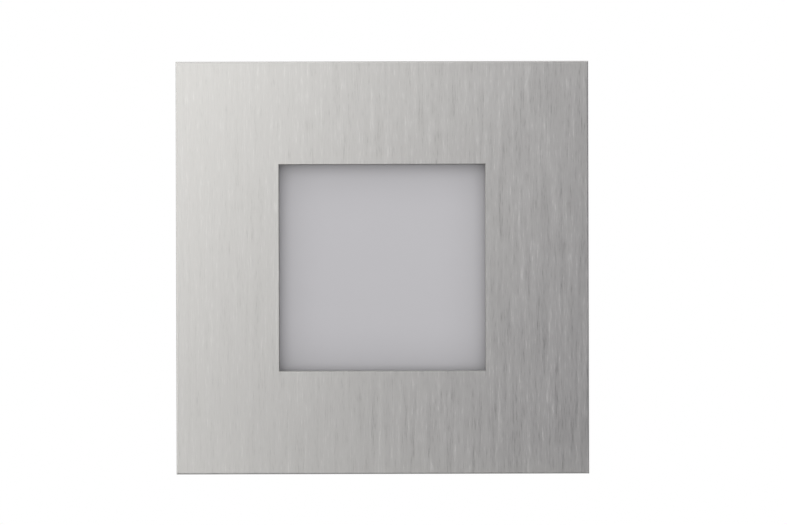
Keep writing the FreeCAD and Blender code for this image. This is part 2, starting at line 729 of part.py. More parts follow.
def pin_ring():
    top = -ear_outer - RING_GAP
    ring = post(RING_RADIUS, top - RING_THICKNESS, top, pivot_x, pivot_y)
    ring = ring.cut(post(RING_GROOVE_RADIUS + PIN_FIT, top - RING_THICKNESS, top, pivot_x, pivot_y))
    sides = (pivot_y - RING_SLOT / 2, pivot_y + RING_SLOT / 2)
    slot = block((pivot_x, pivot_x + RING_RADIUS + 1), sides, (top - 1, top + 1))
    return ring.cut(slot)


def clip_spring():
    """A torsion spring round the pin: one leg on the can's side, the other under the arm's web."""
    axis = V(pivot_x, pivot_y, 0)
    start_angle = math.pi
    end_angle = 2 * math.pi * SPRING_TURNS + math.radians(270 - ARM_REST_ANGLE)
    rate = SPRING_PITCH / (2 * math.pi)
    low = -rate * (end_angle - start_angle) / 2

    def point(angle):
        x, y = SPRING_RADIUS * math.cos(angle), SPRING_RADIUS * math.sin(angle)
        return axis + V(x, y, low + rate * (angle - start_angle))

    def way(angle):
        rise = 0 if angle in (start_angle, end_angle) else rate
        return V(-SPRING_RADIUS * math.sin(angle), SPRING_RADIUS * math.cos(angle), rise).normalize()

    quarters = round((end_angle - start_angle) / (math.pi / 2))
    angles = [start_angle + (end_angle - start_angle) * i / quarters for i in range(quarters)] + [end_angle]
    body_end = point(start_angle) - way(start_angle) * SPRING_BODY_LEG
    edges = [Part.LineSegment(body_end, point(start_angle)).toShape()]
    for a, b in zip(angles, angles[1:]):
        edges += biarc(point(a), way(a), point(b), way(b))
    arm_end = point(end_angle) + way(end_angle) * SPRING_ARM_LEG
    edges.append(Part.LineSegment(point(end_angle), arm_end).toShape())
    spring = sweep_round(edges, SPRING_WIRE / 2, body_end, way(start_angle))
    length = sum(e.Length for e in edges)
    share = spring.Volume / (math.pi * SPRING_WIRE**2 / 4 * length)
    gap = least_gap(edges, SPRING_WIRE, math.pi * SPRING_RADIUS)
    print(f"clip spring: {length:.1f} mm of wire, least gap to itself {gap:.2f} mm, volume share {share:.4f}")
    return spring


# ---- Light source ----
def led_places():
    first = -(LED_ROWS - 1) / 2 * led_pitch
    return [(first + i * led_pitch, first + j * led_pitch) for i in range(LED_ROWS) for j in range(LED_ROWS)]


def led_board():
    board = square_prism(led_board_side, LED_BOARD_CORNER, led_board_front, led_board_back)
    notch_half = LEAD_HOLE_RADIUS + 1.2
    notch_floor = lead_line - LEAD_HOLE_RADIUS - 1.2
    notch = block((-notch_half, notch_half), (led_board_front, led_board_back), (notch_floor, led_board_side))
    board = board.cut(notch)
    for x, z in square_places(board_screw_line):
        board = board.cut(rod(SMALL_SCREW[0] + SCREW_CLEARANCE, led_board_front, led_board_back, x, z))
    return board


def led_chips():
    chips = []
    for x, z in led_places():
        sides = (x - LED_LENGTH / 2, x + LED_LENGTH / 2), (z - LED_WIDTH / 2, z + LED_WIDTH / 2)
        chip = block(sides[0], (led_face, led_board_front), sides[1])
        lens = rod(LED_LENS_RADIUS, led_face - LED_LENS_HEIGHT, led_face, x, z)
        chips.append(chip.fuse(lens).removeSplitter())
    return chips


def thermal_pad():
    return square_prism(led_board_side - 2 * PAD_INSET, PAD_CORNER, led_board_back, partition_front)


def reflector():
    """A white funnel from the LED board to the back of the window seal."""
    rim = chamber_side - 2 * REFLECTOR_CLEARANCE
    rim_corner = chamber_corner - REFLECTOR_CLEARANCE
    flange = square_prism(rim, rim_corner, seal_back, seal_back + REFLECTOR_WALL)
    mouth = rim - 2 * REFLECTOR_FLANGE

    def funnel(wall):
        front = square_wire(mouth + 2 * wall, rim_corner - REFLECTOR_FLANGE + wall, seal_back)
        back = square_wire(throat + 2 * wall, REFLECTOR_THROAT_CORNER + wall, led_board_front)
        return Part.makeLoft([front, back], True, True)

    return funnel(REFLECTOR_WALL).fuse(flange).cut(funnel(0)).removeSplitter()


def lead_grommet():
    """A rubber grommet in the partition's lead hole, with a flange on each face."""
    x, z = 0.0, lead_line
    back = partition_back + GROMMET_FLANGE
    front = partition_front - GROMMET_LIP
    flange = LEAD_HOLE_RADIUS + GROMMET_LIP
    grommet = rod(LEAD_HOLE_RADIUS - SCREW_FIT, front, back, x, z)
    grommet = grommet.fuse(rod(flange, partition_back, back, x, z))
    grommet = grommet.fuse(rod(flange, front, partition_front, x, z))
    return grommet.cut(rod(GROMMET_BORE_RADIUS, front - 1, back + 1, x, z))


def led_lead(side):
    """One of the pair from the driver board, through the grommet, to the LED board."""
    x = side * LEAD_SPACING / 2
    r = LEAD_DIAMETER / 2
    route = [
        V(x, driver_board_back + r, lead_line - LEAD_ON_DRIVER),
        V(x, driver_board_back + r, lead_line),
        V(x, led_board_front - r, lead_line),
        V(x, led_board_front - r, lead_line - LEAD_ON_LED_BOARD),
    ]
    return bent_lead(route, LEAD_DIAMETER, LEAD_BEND)


# ---- Driver ----
def insulating_sheet():
    x, z = driver_board_x / 2 - INSULATOR_MARGIN, driver_board_z / 2 - INSULATOR_MARGIN
    sheet = block((-x, x), (partition_back, partition_back + INSULATOR_THICKNESS), (-z, z))
    for px, pz in standoff_places():
        hole = rod(STANDOFF_RADIUS + STUD_HOLE_CLEARANCE, partition_back, driver_board_front, px, pz)
        sheet = sheet.cut(hole)
    return sheet


def driver_board():
    x, z = driver_board_x / 2, driver_board_z / 2
    board = block((-x, x), (driver_board_front, driver_board_back), (-z, z))
    hole = SMALL_SCREW[0] + SCREW_CLEARANCE
    for px, pz in standoff_places():
        board = board.cut(rod(hole, driver_board_front, driver_board_back, px, pz))
    return board


def on_board(centre, size_x, size_z, low, high):
    """A block on the driver board, between two heights above it."""
    xs = (centre[0] - size_x / 2, centre[0] + size_x / 2)
    zs = (centre[1] - size_z / 2, centre[1] + size_z / 2)
    return block(xs, (driver_board_back + low, driver_board_back + high), zs)


def upright_fillet(shape, radius):
    return shape.makeFillet(radius, edges_along(shape))


def transformer_base():
    return on_board(transformer_at, CORE_LENGTH + BASE_MARGIN, BASE_DEPTH, 0, BASE_HEIGHT)


def transformer_core():
    """Two E-shaped ferrite halves as one closed core with two windows."""
    x, z = transformer_at
    top = BASE_HEIGHT + CORE_HEIGHT
    core = on_board(transformer_at, CORE_LENGTH, CORE_DEPTH, BASE_HEIGHT, top)
    opening = (CORE_LENGTH - CORE_CENTRE) / 2 - CORE_LEG
    for side in (-1, 1):
        at = (x + side * (CORE_CENTRE + opening) / 2, z)
        core = core.cut(on_board(at, opening, CORE_DEPTH, BASE_HEIGHT + CORE_YOKE, top - CORE_YOKE))
    return core


def transformer_winding():
    low = BASE_HEIGHT + CORE_YOKE + WINDING_GAP
    high = BASE_HEIGHT + CORE_HEIGHT - CORE_YOKE - WINDING_GAP
    length = CORE_LENGTH - 2 * (CORE_LEG + WINDING_GAP)
    winding = upright_fillet(on_board(transformer_at, length, WINDING_DEPTH, low, high), WINDING_CORNER)
    leg = 2 * WINDING_GAP
    return winding.cut(on_board(transformer_at, CORE_CENTRE + leg, CORE_DEPTH + leg, low, high))


def can_capacitor(at, radius, height):
    """An electrolytic capacitor: a can with a rolled groove near its foot."""
    low = driver_board_back + CAN_GROOVE_FOOT
    groove = tube(radius + 1, radius - CAN_GROOVE_DEPTH, low, low + CAN_GROOVE_WIDTH, *at)
    return rod(radius, driver_board_back, driver_board_back + height, *at).cut(groove)


def input_capacitor():
    return can_capacitor(input_can_at, INPUT_CAN_RADIUS, INPUT_CAN_HEIGHT)


def output_capacitor():
    return can_capacitor(output_can_at, OUTPUT_CAN_RADIUS, OUTPUT_CAN_HEIGHT)


def film_capacitor():
    return upright_fillet(on_board(film_at, FILM_LENGTH, FILM_WIDTH, 0, FILM_HEIGHT), FILM_CORNER)


def bridge_rectifier():
    return on_board(bridge_at, BRIDGE_LENGTH, BRIDGE_WIDTH, 0, BRIDGE_HEIGHT)


def controller_chip():
    return on_board(chip_at, CHIP_LENGTH, CHIP_WIDTH, 0, CHIP_HEIGHT)


def choke():
    """A drum choke: two flanges with the winding between them."""
    y0, y1 = driver_board_back, driver_board_back + CHOKE_HEIGHT
    drum = rod(CHOKE_RADIUS, y0, y0 + CHOKE_FLANGE, *choke_at)
    drum = drum.fuse(rod(CHOKE_RADIUS, y1 - CHOKE_FLANGE, y1, *choke_at))
    return drum.fuse(rod(CHOKE_RADIUS - CHOKE_WAIST, y0, y1, *choke_at)).removeSplitter()


def fuse_resistor():
    """A fusible resistor that stands on end."""
    return rod(FUSE_RADIUS, driver_board_back, driver_board_back + FUSE_LENGTH, *fuse_at)


def varistor():
    x, z = varistor_at
    start = V(x - VARISTOR_THICKNESS / 2, driver_board_back + VARISTOR_RADIUS, z)
    return Part.makeCylinder(VARISTOR_RADIUS, VARISTOR_THICKNESS, start, V(1, 0, 0))


def pole_lines():
    return [(i - (TERMINAL_POLES - 1) / 2) * TERMINAL_PITCH for i in range(TERMINAL_POLES)]


def terminal_block():
    top = driver_board_back + TERMINAL_HEIGHT
    body = on_board((terminal_x, 0), TERMINAL_DEPTH, TERMINAL_PITCH * TERMINAL_POLES, 0, TERMINAL_HEIGHT)
    inner_side = terminal_x + TERMINAL_DEPTH / 2
    mouth_ys = (driver_board_back + WIRE_MOUTH_FOOT, driver_board_back + WIRE_MOUTH_FOOT + WIRE_MOUTH)
    for z in pole_lines():
        mouth_zs = (z - WIRE_MOUTH / 2, z + WIRE_MOUTH / 2)
        body = body.cut(block((inner_side - WIRE_MOUTH_DEPTH, inner_side + 1), mouth_ys, mouth_zs))
        body = body.cut(rod(TERMINAL_WELL_RADIUS, top - TERMINAL_WELL_DEPTH, top + 1, terminal_x, z))
    return body


def terminal_screws():
    floor = driver_board_back + TERMINAL_HEIGHT - TERMINAL_WELL_DEPTH
    radius = TERMINAL_WELL_RADIUS - SCREW_CLEARANCE
    made = []
    for z in pole_lines():
        screw = rod(radius, floor, floor + TERMINAL_SCREW_HEIGHT, terminal_x, z)
        slot_ys = (floor + TERMINAL_SCREW_HEIGHT - SCREW_SLOT, floor + TERMINAL_SCREW_HEIGHT + 1)
        slot_zs = (z - SCREW_SLOT / 2, z + SCREW_SLOT / 2)
        slot = block((terminal_x - radius, terminal_x + radius), slot_ys, slot_zs)
        made.append(screw.cut(slot))
    return made


def earth_tag():
    """A ring tag with a crimped barrel, clamped on the earth boss."""
    z = -lead_line
    y0, y1 = earth_seat, earth_seat + EARTH_TAG_THICKNESS
    hole = LARGE_SCREW[0] + SCREW_CLEARANCE
    barrel_end = EARTH_BARREL_LENGTH - EARTH_BARREL_REACH
    neck_zs = (z - EARTH_NECK_WIDTH / 2, z + EARTH_NECK_WIDTH / 2)
    neck = block((barrel_end - 0.5, -hole - 0.5), (y0, y1), neck_zs)
    start = V(-EARTH_BARREL_REACH, earth_lead_y, z)
    barrel = Part.makeCylinder(EARTH_BARREL_RADIUS, EARTH_BARREL_LENGTH, start, V(1, 0, 0))
    return tube(EARTH_BOSS_RADIUS, hole, y0, y1, 0, z).fuse(neck).fuse(barrel).removeSplitter()


def earth_lead():
    """From the board's earth pad, down past its edge, to the ring tag."""
    x, y, z = -EARTH_LEAD_SIDE, earth_lead_y, -lead_line
    route = [V(x, y, z + EARTH_LEAD_START), V(x, y, z), V(-EARTH_BARREL_REACH, y, z)]
    return bent_lead(route, EARTH_LEAD_DIAMETER, LEAD_BEND)


# ---- Rear cover and gland ----
def cover_seal():
    side = can_side - 2 * COVER_SEAL_INSET
    opening = square_prism(side - 2 * COVER_SEAL_WIDTH, chamber_corner, can_back, cover_front)
    for x, z in square_places(boss_centre):
        opening = opening.cut(rod(COVER_BOSS_RADIUS, can_back, cover_front, x, z))
    seal = square_prism(side, CAN_CORNER - COVER_SEAL_INSET, can_back, cover_front).cut(opening)
    for x, z in square_places(boss_centre):
        seal = seal.cut(rod(LARGE_SCREW[0] + SCREW_CLEARANCE, can_back, cover_front, x, z))
    return max(seal.Solids, key=lambda s: s.Volume)


def rear_cover():
    cover = square_prism(can_side, CAN_CORNER, cover_front, cover_back)
    cover = cover.makeChamfer(COVER_EDGE, edges_at(cover, cover_back))
    cover = cover.fuse(rod(COVER_PAD_RADIUS, cover_back, boss_back))
    for x, z in square_places(boss_centre):
        cover = cover.cut(rod(LARGE_SCREW[0] + SCREW_CLEARANCE, cover_front, cover_back, x, z))
    return cover.cut(rod(gland_hole, cover_front, boss_back)).removeSplitter()


def gland_washer():
    return tube(GLAND_ACROSS_FLATS / 2, gland_hole, boss_back, gland_seat)


def gland_body():
    """The gland's threaded stem, its hexagon, and the collet that the nut closes on the seal."""
    body = rod(GLAND_THREAD_DIAMETER / 2, gland_seat - GLAND_THREAD_LENGTH, collet_end)
    body = body.fuse(hex_prism(GLAND_ACROSS_FLATS, gland_seat, gland_hex_back))
    body = body.cut(rod(GLAND_BORE_RADIUS, gland_seat - GLAND_THREAD_LENGTH, collet_end))
    return body.cut(rod(GLAND_SEAL_RADIUS + GLAND_SEAL_FIT, gland_hex_back, collet_end)).removeSplitter()


def gland_seal():
    return tube(GLAND_SEAL_RADIUS, CABLE_BORE_RADIUS, gland_hex_back, gland_hex_back + GLAND_SEAL_LENGTH)


def gland_nut():
    """The domed nut: hexagon, taper, and a stepped bore for the collet, the seal and the cable."""
    hex_end = gland_nut_front + GLAND_NUT_HEX
    collet_room = collet_end + GLAND_NUT_GAP
    seal_room = gland_nut_back - GLAND_NUT_TOP
    taper = gland_nut_back - hex_end
    dome = Part.makeCone(GLAND_ACROSS_FLATS / 2, GLAND_NUT_MOUTH, taper, V(0, hex_end, 0), V(0, 1, 0))
    nut = hex_prism(GLAND_ACROSS_FLATS, gland_nut_front, hex_end).fuse(dome)
    nut = nut.cut(rod(GLAND_THREAD_DIAMETER / 2 + GLAND_NUT_FIT, gland_nut_front, collet_room))
    nut = nut.cut(rod(GLAND_SEAL_RADIUS + GLAND_SEAL_FIT, collet_room - 1, seal_room))
    return nut.cut(rod(CABLE_BORE_RADIUS + CABLE_CLEARANCE, seal_room - 1, gland_nut_back)).removeSplitter()


def gland_lock_nut():
    y0, y1 = cover_front - LOCK_NUT_HEIGHT, cover_front
    nut = hex_prism(LOCK_NUT_ACROSS_FLATS, y0, y1)
    return nut.cut(rod(GLAND_THREAD_DIAMETER / 2 + LOCK_NUT_FIT, y0, y1))


def write(name, made):
    """Writes one node's STEP file, from one solid or a list of them."""
    solids = made if isinstance(made, list) else made.Solids
    shape = solids[0] if len(solids) == 1 else Part.makeCompound(solids)
    for solid in solids:
        if not solid.isValid() or solid.Volume <= 0:
            raise ValueError(f"{name} has a bad solid")
    shape.exportStep(os.path.join("parts", name + ".step"))


def main():
    os.makedirs("parts", exist_ok=True)
    for piece in (
        fascia,
        fascia_studs,
        fascia_washers,
        fascia_nuts,
        wall_gasket,
        window_glass,
        window_seal,
        housing,
        cover_screws,
        led_board_screws,
        driver_screws,
        earth_screw,
        led_board,
        led_chips,
        thermal_pad,
        reflector,
        lead_grommet,
        insulating_sheet,
        driver_board,
        transformer_base,
        transformer_core,
        transformer_winding,
        input_capacitor,
        output_capacitor,
        film_capacitor,
        bridge_rectifier,
        controller_chip,
        choke,
        fuse_resistor,
        varistor,
        terminal_block,
        terminal_screws,
        earth_tag,
        earth_lead,
        cover_seal,
        rear_cover,
        gland_washer,
        gland_body,
        gland_seal,
        gland_nut,
        gland_lock_nut,
    ):
        write(piece.__name__, piece())
    for piece in (clip_arm, clip_pin, pin_ring, clip_spring):
        right = piece()
        write("right_" + piece.__name__, right)
        write("left_" + piece.__name__, half_turn(right))
    write("led_lead_positive", led_lead(-1))
    write("led_lead_negative", led_lead(1))


main()
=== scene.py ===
import math

import bmesh
import bpy
from bpy.props import FloatProperty, FloatVectorProperty, IntProperty, PointerProperty
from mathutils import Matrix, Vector


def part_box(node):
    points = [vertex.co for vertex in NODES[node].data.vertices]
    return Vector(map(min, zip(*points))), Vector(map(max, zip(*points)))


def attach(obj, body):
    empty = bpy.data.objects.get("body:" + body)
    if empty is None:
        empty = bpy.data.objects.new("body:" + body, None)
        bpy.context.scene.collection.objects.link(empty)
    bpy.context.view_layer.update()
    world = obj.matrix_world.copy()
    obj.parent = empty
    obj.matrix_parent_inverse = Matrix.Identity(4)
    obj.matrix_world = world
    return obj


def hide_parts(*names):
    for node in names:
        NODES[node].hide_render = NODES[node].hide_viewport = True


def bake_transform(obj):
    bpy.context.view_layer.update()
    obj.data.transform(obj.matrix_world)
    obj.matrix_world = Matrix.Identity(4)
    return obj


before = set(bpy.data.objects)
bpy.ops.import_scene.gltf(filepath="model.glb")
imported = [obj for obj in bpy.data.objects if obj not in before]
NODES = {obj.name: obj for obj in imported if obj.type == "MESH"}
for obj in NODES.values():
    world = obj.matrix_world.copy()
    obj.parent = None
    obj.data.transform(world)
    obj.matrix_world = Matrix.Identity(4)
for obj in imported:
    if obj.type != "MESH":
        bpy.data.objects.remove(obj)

bl_info = {
    "name": "Recessed Step Light",
    "version": (1, 0, 0),
    "blender": (4, 5, 0),
    "location": "View3D > Sidebar > Step Light",
    "description": "Dresses the step light's solids: faceplate, window, casting, clips, gland and driver",
    "category": "Object",
}

MM = 0.001
LOW, HIGH = 0, 1
X, Y, Z = 0, 1, 2


def limit(node, end, axis):
    """One limit of a node along an axis, in metres."""
    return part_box(node)[end][axis]


def middle_of(node):
    """The middle of a node's box, in metres."""
    return [(limit(node, LOW, axis) + limit(node, HIGH, axis)) / 2 for axis in (X, Y, Z)]


def span(node, axis):
    """The size of a node along an axis, in metres."""
    return limit(node, HIGH, axis) - limit(node, LOW, axis)


FACE_Y = limit("fascia", LOW, Y)
PIVOT = middle_of("right_clip_pin")

# The floor under the light, in metres: where it fades to plain white, and how bright it is before that.
FLOOR_HALF_WIDTH, FLOOR_HALF_DEPTH, FLOOR_MIDDLE = 0.6, 0.115, 0.035
FLOOR_FADE_ACROSS, FLOOR_FADE_BACK = (0.08, 0.3), (0.05, 0.115)
FLOOR_GLOW = 0.45
# Between these values of a direction's Y, what metal mirrors changes from the front's reflection to the sides'.
FRONT_REFLECTION = (-0.95, -0.35)
# The width of the camera's sensor, in mm.
SENSOR = 36.0
# The ridge's half height, as a share of the thread's depth.
RIDGE_SHARE = 0.95

# The colours of small parts, and how many patches of dust lie along a metre.
WHITE = (1.0, 1.0, 1.0)
DUST, DUST_PATCHES = (0.42, 0.40, 0.37), (300.0,) * 3
BARE_METAL, TIN, SOLDER = (0.70, 0.71, 0.72), (0.72, 0.70, 0.66), (0.74, 0.74, 0.75)
WHITE_PLASTIC, BOARD_METAL, THERMAL_BLUE = (0.84, 0.84, 0.82), (0.68, 0.68, 0.69), (0.30, 0.38, 0.48)
NAVY_SLEEVE, BLACK_SLEEVE = (0.03, 0.05, 0.11), (0.03, 0.03, 0.035)
EARTH_GREEN, EARTH_YELLOW = (0.05, 0.34, 0.07), (0.75, 0.60, 0.03)
CAN_STRIPE = (0.55, 0.57, 0.60)
FERRITE, SLEEVE, TAPE = (0.09, 0.09, 0.10), (0.05, 0.05, 0.055), (0.80, 0.60, 0.10)
ENAMEL, BROWN, BLACK, GOLD = (0.30, 0.50, 0.56), (0.16, 0.06, 0.02), (0.02, 0.02, 0.02), (0.62, 0.44, 0.12)
# Where each coloured band of the resistor starts along its length.
BANDS = ((0.0, ENAMEL), (0.18, BROWN), (0.27, ENAMEL), (0.36, BLACK), (0.45, ENAMEL))
BANDS += ((0.54, BLACK), (0.63, ENAMEL), (0.76, GOLD), (0.85, ENAMEL))
# Width and height of the driver board's areas of copper and of its tracks, and the gap between them.
COPPER_AREAS, COPPER_TRACKS = (9.0 * MM, 5.2 * MM, 0.5 * MM), (31.0 * MM, 1.1 * MM, 0.5 * MM)
# Each component's pins, in mm from its middle along X and Z.
PINS = (
    ("input_capacitor", ((-1.75, 0.0), (1.75, 0.0))),
    ("output_capacitor", ((0.0, -1.25), (0.0, 1.25))),
    ("film_capacitor", ((-5.0, 0.0), (5.0, 0.0))),
    ("choke", ((-1.5, 0.0), (1.5, 0.0))),
    ("fuse_resistor", ((0.0, 0.0), (0.0, -2.5))),
    ("varistor", ((0.0, -2.5), (0.0, 2.5))),
    ("bridge_rectifier", ((-2.2, -1.3), (2.2, -1.3), (-2.2, 1.3), (2.2, 1.3))),
    ("transformer_base", ((-6.0, -5.3), (6.0, -5.3), (-6.0, 5.3), (6.0, 5.3), (-2.0, 5.3), (2.0, 5.3))),
    ("terminal_block", ((0.0, -5.0), (0.0, 0.0), (0.0, 5.0))),
)
# The driver's moulded and enamelled parts: colour, roughness and nodes.
MOULDED = (
    ("Insulating Film", (0.18, 0.18, 0.18), 0.3, ("insulating_sheet",)),
    ("Ferrite", FERRITE, 0.6, ("transformer_core",)),
    ("Film Capacitor Body", (0.72, 0.58, 0.10), 0.3, ("film_capacitor",)),
    ("Black Package", (0.035, 0.035, 0.035), 0.45, ("bridge_rectifier", "controller_chip")),
    ("Varistor Enamel", (0.04, 0.16, 0.45), 0.35, ("varistor",)),
    ("Terminal Body", (0.06, 0.33, 0.16), 0.45, ("terminal_block",)),
)
# The nodes that keep their shape and get the bright finish.
BRIGHT_NODES = ("fascia_washers", "fascia_nuts", "cover_screws", "led_board_screws", "driver_screws")
BRIGHT_NODES += ("right_clip_pin", "left_clip_pin")


# ---- Settings that a user would change ----
def setting(kind, **fixed):
    """A sort of setting, which takes the setting's name, description and default."""
    return lambda name, description, default: kind(name=name, description=description, default=default, **fixed)


length = setting(FloatProperty, unit="LENGTH", precision=5, soft_min=0.0, soft_max=2.0)
share = setting(FloatProperty, min=0.0, max=1.0, subtype="FACTOR")
amount = setting(FloatProperty, min=0.0)
watts = setting(FloatProperty, min=0.0, unit="POWER")
angle = setting(FloatProperty, subtype="ANGLE")
whole = setting(IntProperty, min=6, max=60)
colour = setting(FloatVectorProperty, size=3, min=0.0, max=1.0, subtype="COLOR")
place = setting(FloatVectorProperty, size=3, subtype="XYZ", unit="LENGTH")


class StageSettings(bpy.types.PropertyGroup):
    """The camera, the lamps and the floor."""

    view_width: length("View width", "What the picture's width spans at the faceplate", 0.1907)
    camera_at: place("Camera", "Where the camera stands", (0.00269, -0.9, 0.00124))
    camera_roll: angle("Roll", "The camera's turn about its line of sight", math.radians(0.15))
    lamp_at: place("Soft lamp", "Middle of the large soft lamp that metal mirrors", (-0.225, -0.191, 0.168))
    lamp_side: length("Lamp side", "Side of the square lamps", 0.8)
    lamp_power: watts("Soft lamp power", "In watts", 3.12)
    lamp_colour: colour("Lamp colour", "Slightly warm white", (1.0, 1.0, 0.955))
    matt_lamp_at: place("Matt lamp", "Middle of the lamp that lights what is matt", (0.0, -0.34, 0.02))
    matt_lamp_power: watts("Matt lamp power", "In watts", 1.8)
    fill_level: amount("Fill", "Level of the even light on matt surfaces", 0.5)
    front_level: amount("Front reflection", "What metal mirrors from the side of the camera", 0.09)
    front_colour: colour("Front colour", "Cool tint of what metal mirrors there", (0.84, 0.8, 1.0))
    side_level: amount("Side reflection", "What metal mirrors from the sides and from behind", 1.0)
    floor_drop: length("Floor drop", "From the faceplate's middle down to the floor", 0.075)
    floor_colour: colour("Floor colour", "Pale floor", (0.8, 0.8, 0.8))


class FasciaSettings(bpy.types.PropertyGroup):
    """The brushed faceplate."""

    steel: colour("Steel", "Colour of the brushed steel", (0.62, 0.613, 0.603))
    roughness: share("Roughness", "Roughness of the steel between its scratches", 0.413)
    grain_width: length("Grain width", "Width of a scratch", 0.25 * MM)
    grain_length: length("Grain length", "Length of a scratch", 3.3 * MM)
    grain_depth: length("Grain depth", "Depth of a scratch", 0.01 * MM)
    grain_tone: share("Grain contrast", "How much lighter and darker the scratches are on the left", 0.10)
    # Painted light: the scratches show more contrast on the right, standing in for how the soft lamp's reflection
    # falls off across the plate.
    painted_grain_tone_right: share("Painted grain contrast, right", "The same on the right, where the brush bit deeper", 0.225)
    patches: share("Patches", "How much the polish varies from place to place", 0.03)
    # The cut edges' own duller colour, made darker still as painted shade on the walls of the window's recess.
    punched_edge: colour("Punched edge", "Colour of the plate's cut edges", (0.33, 0.326, 0.32))
    # Painted shade: the steel is darker along the plate's eased outer edges, standing in for the shade that falls on
    # the easing.
    rim: share("Rim", "How light the steel is along the plate's eased outer edges", 0.87)
    rim_width: length("Rim width", "Width of the eased outer edges", 0.4 * MM)


class WindowSettings(bpy.types.PropertyGroup):
    """The frosted window and its seal."""

    glass: colour("Glass", "Colour of the frosted glass", (0.514, 0.506, 0.541))
    roughness: share("Frosting", "Roughness of the glass", 0.55)
    see_through: share("See-through", "Light that passes the glass", 0.12)
    half_side: length("Half side", "Half of the side of the glass that shows", 25.0 * MM)
    # Painted shade: the glass's colour is darkened near its edge, where the faceplate's edge shades it and light
    # leaves the glass sideways under it.
    painted_edge_shade: share("Painted edge shade", "Light that the glass loses sideways at its edge", 0.14)
    painted_shade_reach: length("Painted shade reach", "How far in from the edge the glass is darker", 13.0 * MM)
    silicone: colour("Silicone", "Colour of the window's seal", (0.46, 0.46, 0.46))


class SealSettings(bpy.types.PropertyGroup):
    """The foam wall gasket and the rubber seals."""

    foam: colour("Foam", "Colour of the closed-cell foam", (0.055, 0.055, 0.06))
    foam_cell: length("Foam cell", "Size of the foam's cells", 0.45 * MM)
    foam_rounding: length("Foam rounding", "Rounding of the foam's edges", 0.45 * MM)
    rubber: colour("Rubber", "Colour of the rubber seals", (0.03, 0.03, 0.03))
    rounding: length("Seal rounding", "Rounding of the seals' edges", 0.2 * MM)


class CastingSettings(bpy.types.PropertyGroup):
    """The die-cast housing and rear cover."""

    alloy: colour("Alloy", "Colour of the blasted casting", (0.60, 0.61, 0.62))
    roughness: share("Roughness", "Roughness of the casting's skin", 0.48)
    grain: length("Grain", "Grain of the blasted skin", 0.35 * MM)
    rounding: length("Rounding", "Rounding of the casting's edges", 0.3 * MM)


class FixingSettings(bpy.types.PropertyGroup):
    """The threaded studs."""

    stud: length("Stud", "Diameter over the thread", 3.0 * MM)
    thread_pitch: length("Thread pitch", "From one turn of the thread to the next", 0.5 * MM)
    thread_depth: length("Thread depth", "Height of the thread's ridge", 0.24 * MM)
    plain_length: length("Plain length", "Length of the stud below its thread", 0.9 * MM)
    plain_tip: length("Plain tip", "Length of the stud that is kept free past its thread", 0.3 * MM)
    steel: colour("Bright steel", "Colour of the screws, nuts and studs", (0.66, 0.65, 0.63))
    tinned: colour("Tinned brass", "Colour of the earth and terminal screws", (0.72, 0.69, 0.60))


class ClipSettings(bpy.types.PropertyGroup):
    """The sprung clips: bent arms, pins and torsion springs."""

    steel: colour("Spring steel", "Colour of the spring steel", (0.60, 0.585, 0.56))
    roughness: share("Roughness", "Roughness of the rolled strip", 0.30)
    arm_rounding: length("Arm rounding", "Rounding of the pressed arm's edges", 0.12 * MM)
    wire: length("Wire", "Diameter of the spring wire", 1.0 * MM)
    coil_radius: length("Coil radius", "Pin axis to the middle of the wire", 3.1 * MM)
    coil_pitch: length("Coil pitch", "Rise of the coil in one turn", 1.6 * MM)
    coil_start: angle("Coil start", "Where the coil starts", math.pi)
    coil_turn: angle("Coil turn", "How far the coil turns", math.radians(1505.0))
    body_leg: length("Body leg", "Length of the leg on the housing's side", 8.0 * MM)
    arm_leg: length("Arm leg", "Length of the leg under the arm", 9.0 * MM)
    wire_step: length("Wire step", "Length of one straight step of the wire's line", 0.25 * MM)


class GlandSettings(bpy.types.PropertyGroup):
    """The nylon cable gland."""

    nylon: colour("Nylon", "Colour of the gland", (0.05, 0.05, 0.055))
    rounding: length("Gland rounding", "Rounding of the hexagons' edges", 0.3 * MM)
    ribs: whole("Grip ribs", "Ribs round the nut's dome", 24)
    rib_width: length("Rib width", "Width of a grip rib", 0.7 * MM)
    rib_length: length("Rib length", "Length of a grip rib", 4.8 * MM)
    rib_proud: length("Rib height", "How far a grip rib stands out", 0.35 * MM)
    rib_sunk: length("Rib depth", "How deep a grip rib's middle sits in the nut", 0.08 * MM)
    taper_foot: length("Taper foot", "Where the nut's hexagon ends", 62.4 * MM)
    taper_fall: length("Taper", "How much the nut's radius falls over its taper", 1.4 * MM)


class DriverSettings(bpy.types.PropertyGroup):
    """The LED board and the driver."""

    solder_mask: colour("Solder mask", "Colour of the driver board's mask", (0.03, 0.20, 0.07))
    board_edge: colour("Board edge", "Colour of the bare board", (0.55, 0.47, 0.25))
    white_mask: colour("White mask", "Colour of the LED board's mask", (0.80, 0.80, 0.77))
    phosphor: colour("Phosphor", "Colour of the LEDs' phosphor", (0.90, 0.68, 0.16))
    led_pitch: length("LED pitch", "From one LED to the next", 8.0 * MM)
    led_lead: length("LED lead", "Diameter of the leads to the LED board", 1.3 * MM)
    earth_lead: length("Earth lead", "Diameter of the earth lead", 1.8 * MM)
    solder: length("Solder", "Radius of a solder joint", 0.95 * MM)
    ease: length("Lead ease", "How far from a corner a lead starts to turn", 1.4 * MM)


SETTINGS = {
    "step_light_stage": StageSettings,
    "step_light_fascia": FasciaSettings,
    "step_light_window": WindowSettings,
    "step_light_seals": SealSettings,
    "step_light_casting": CastingSettings,
    "step_light_fixings": FixingSettings,
    "step_light_clips": ClipSettings,
    "step_light_gland": GlandSettings,
    "step_light_driver": DriverSettings,
}


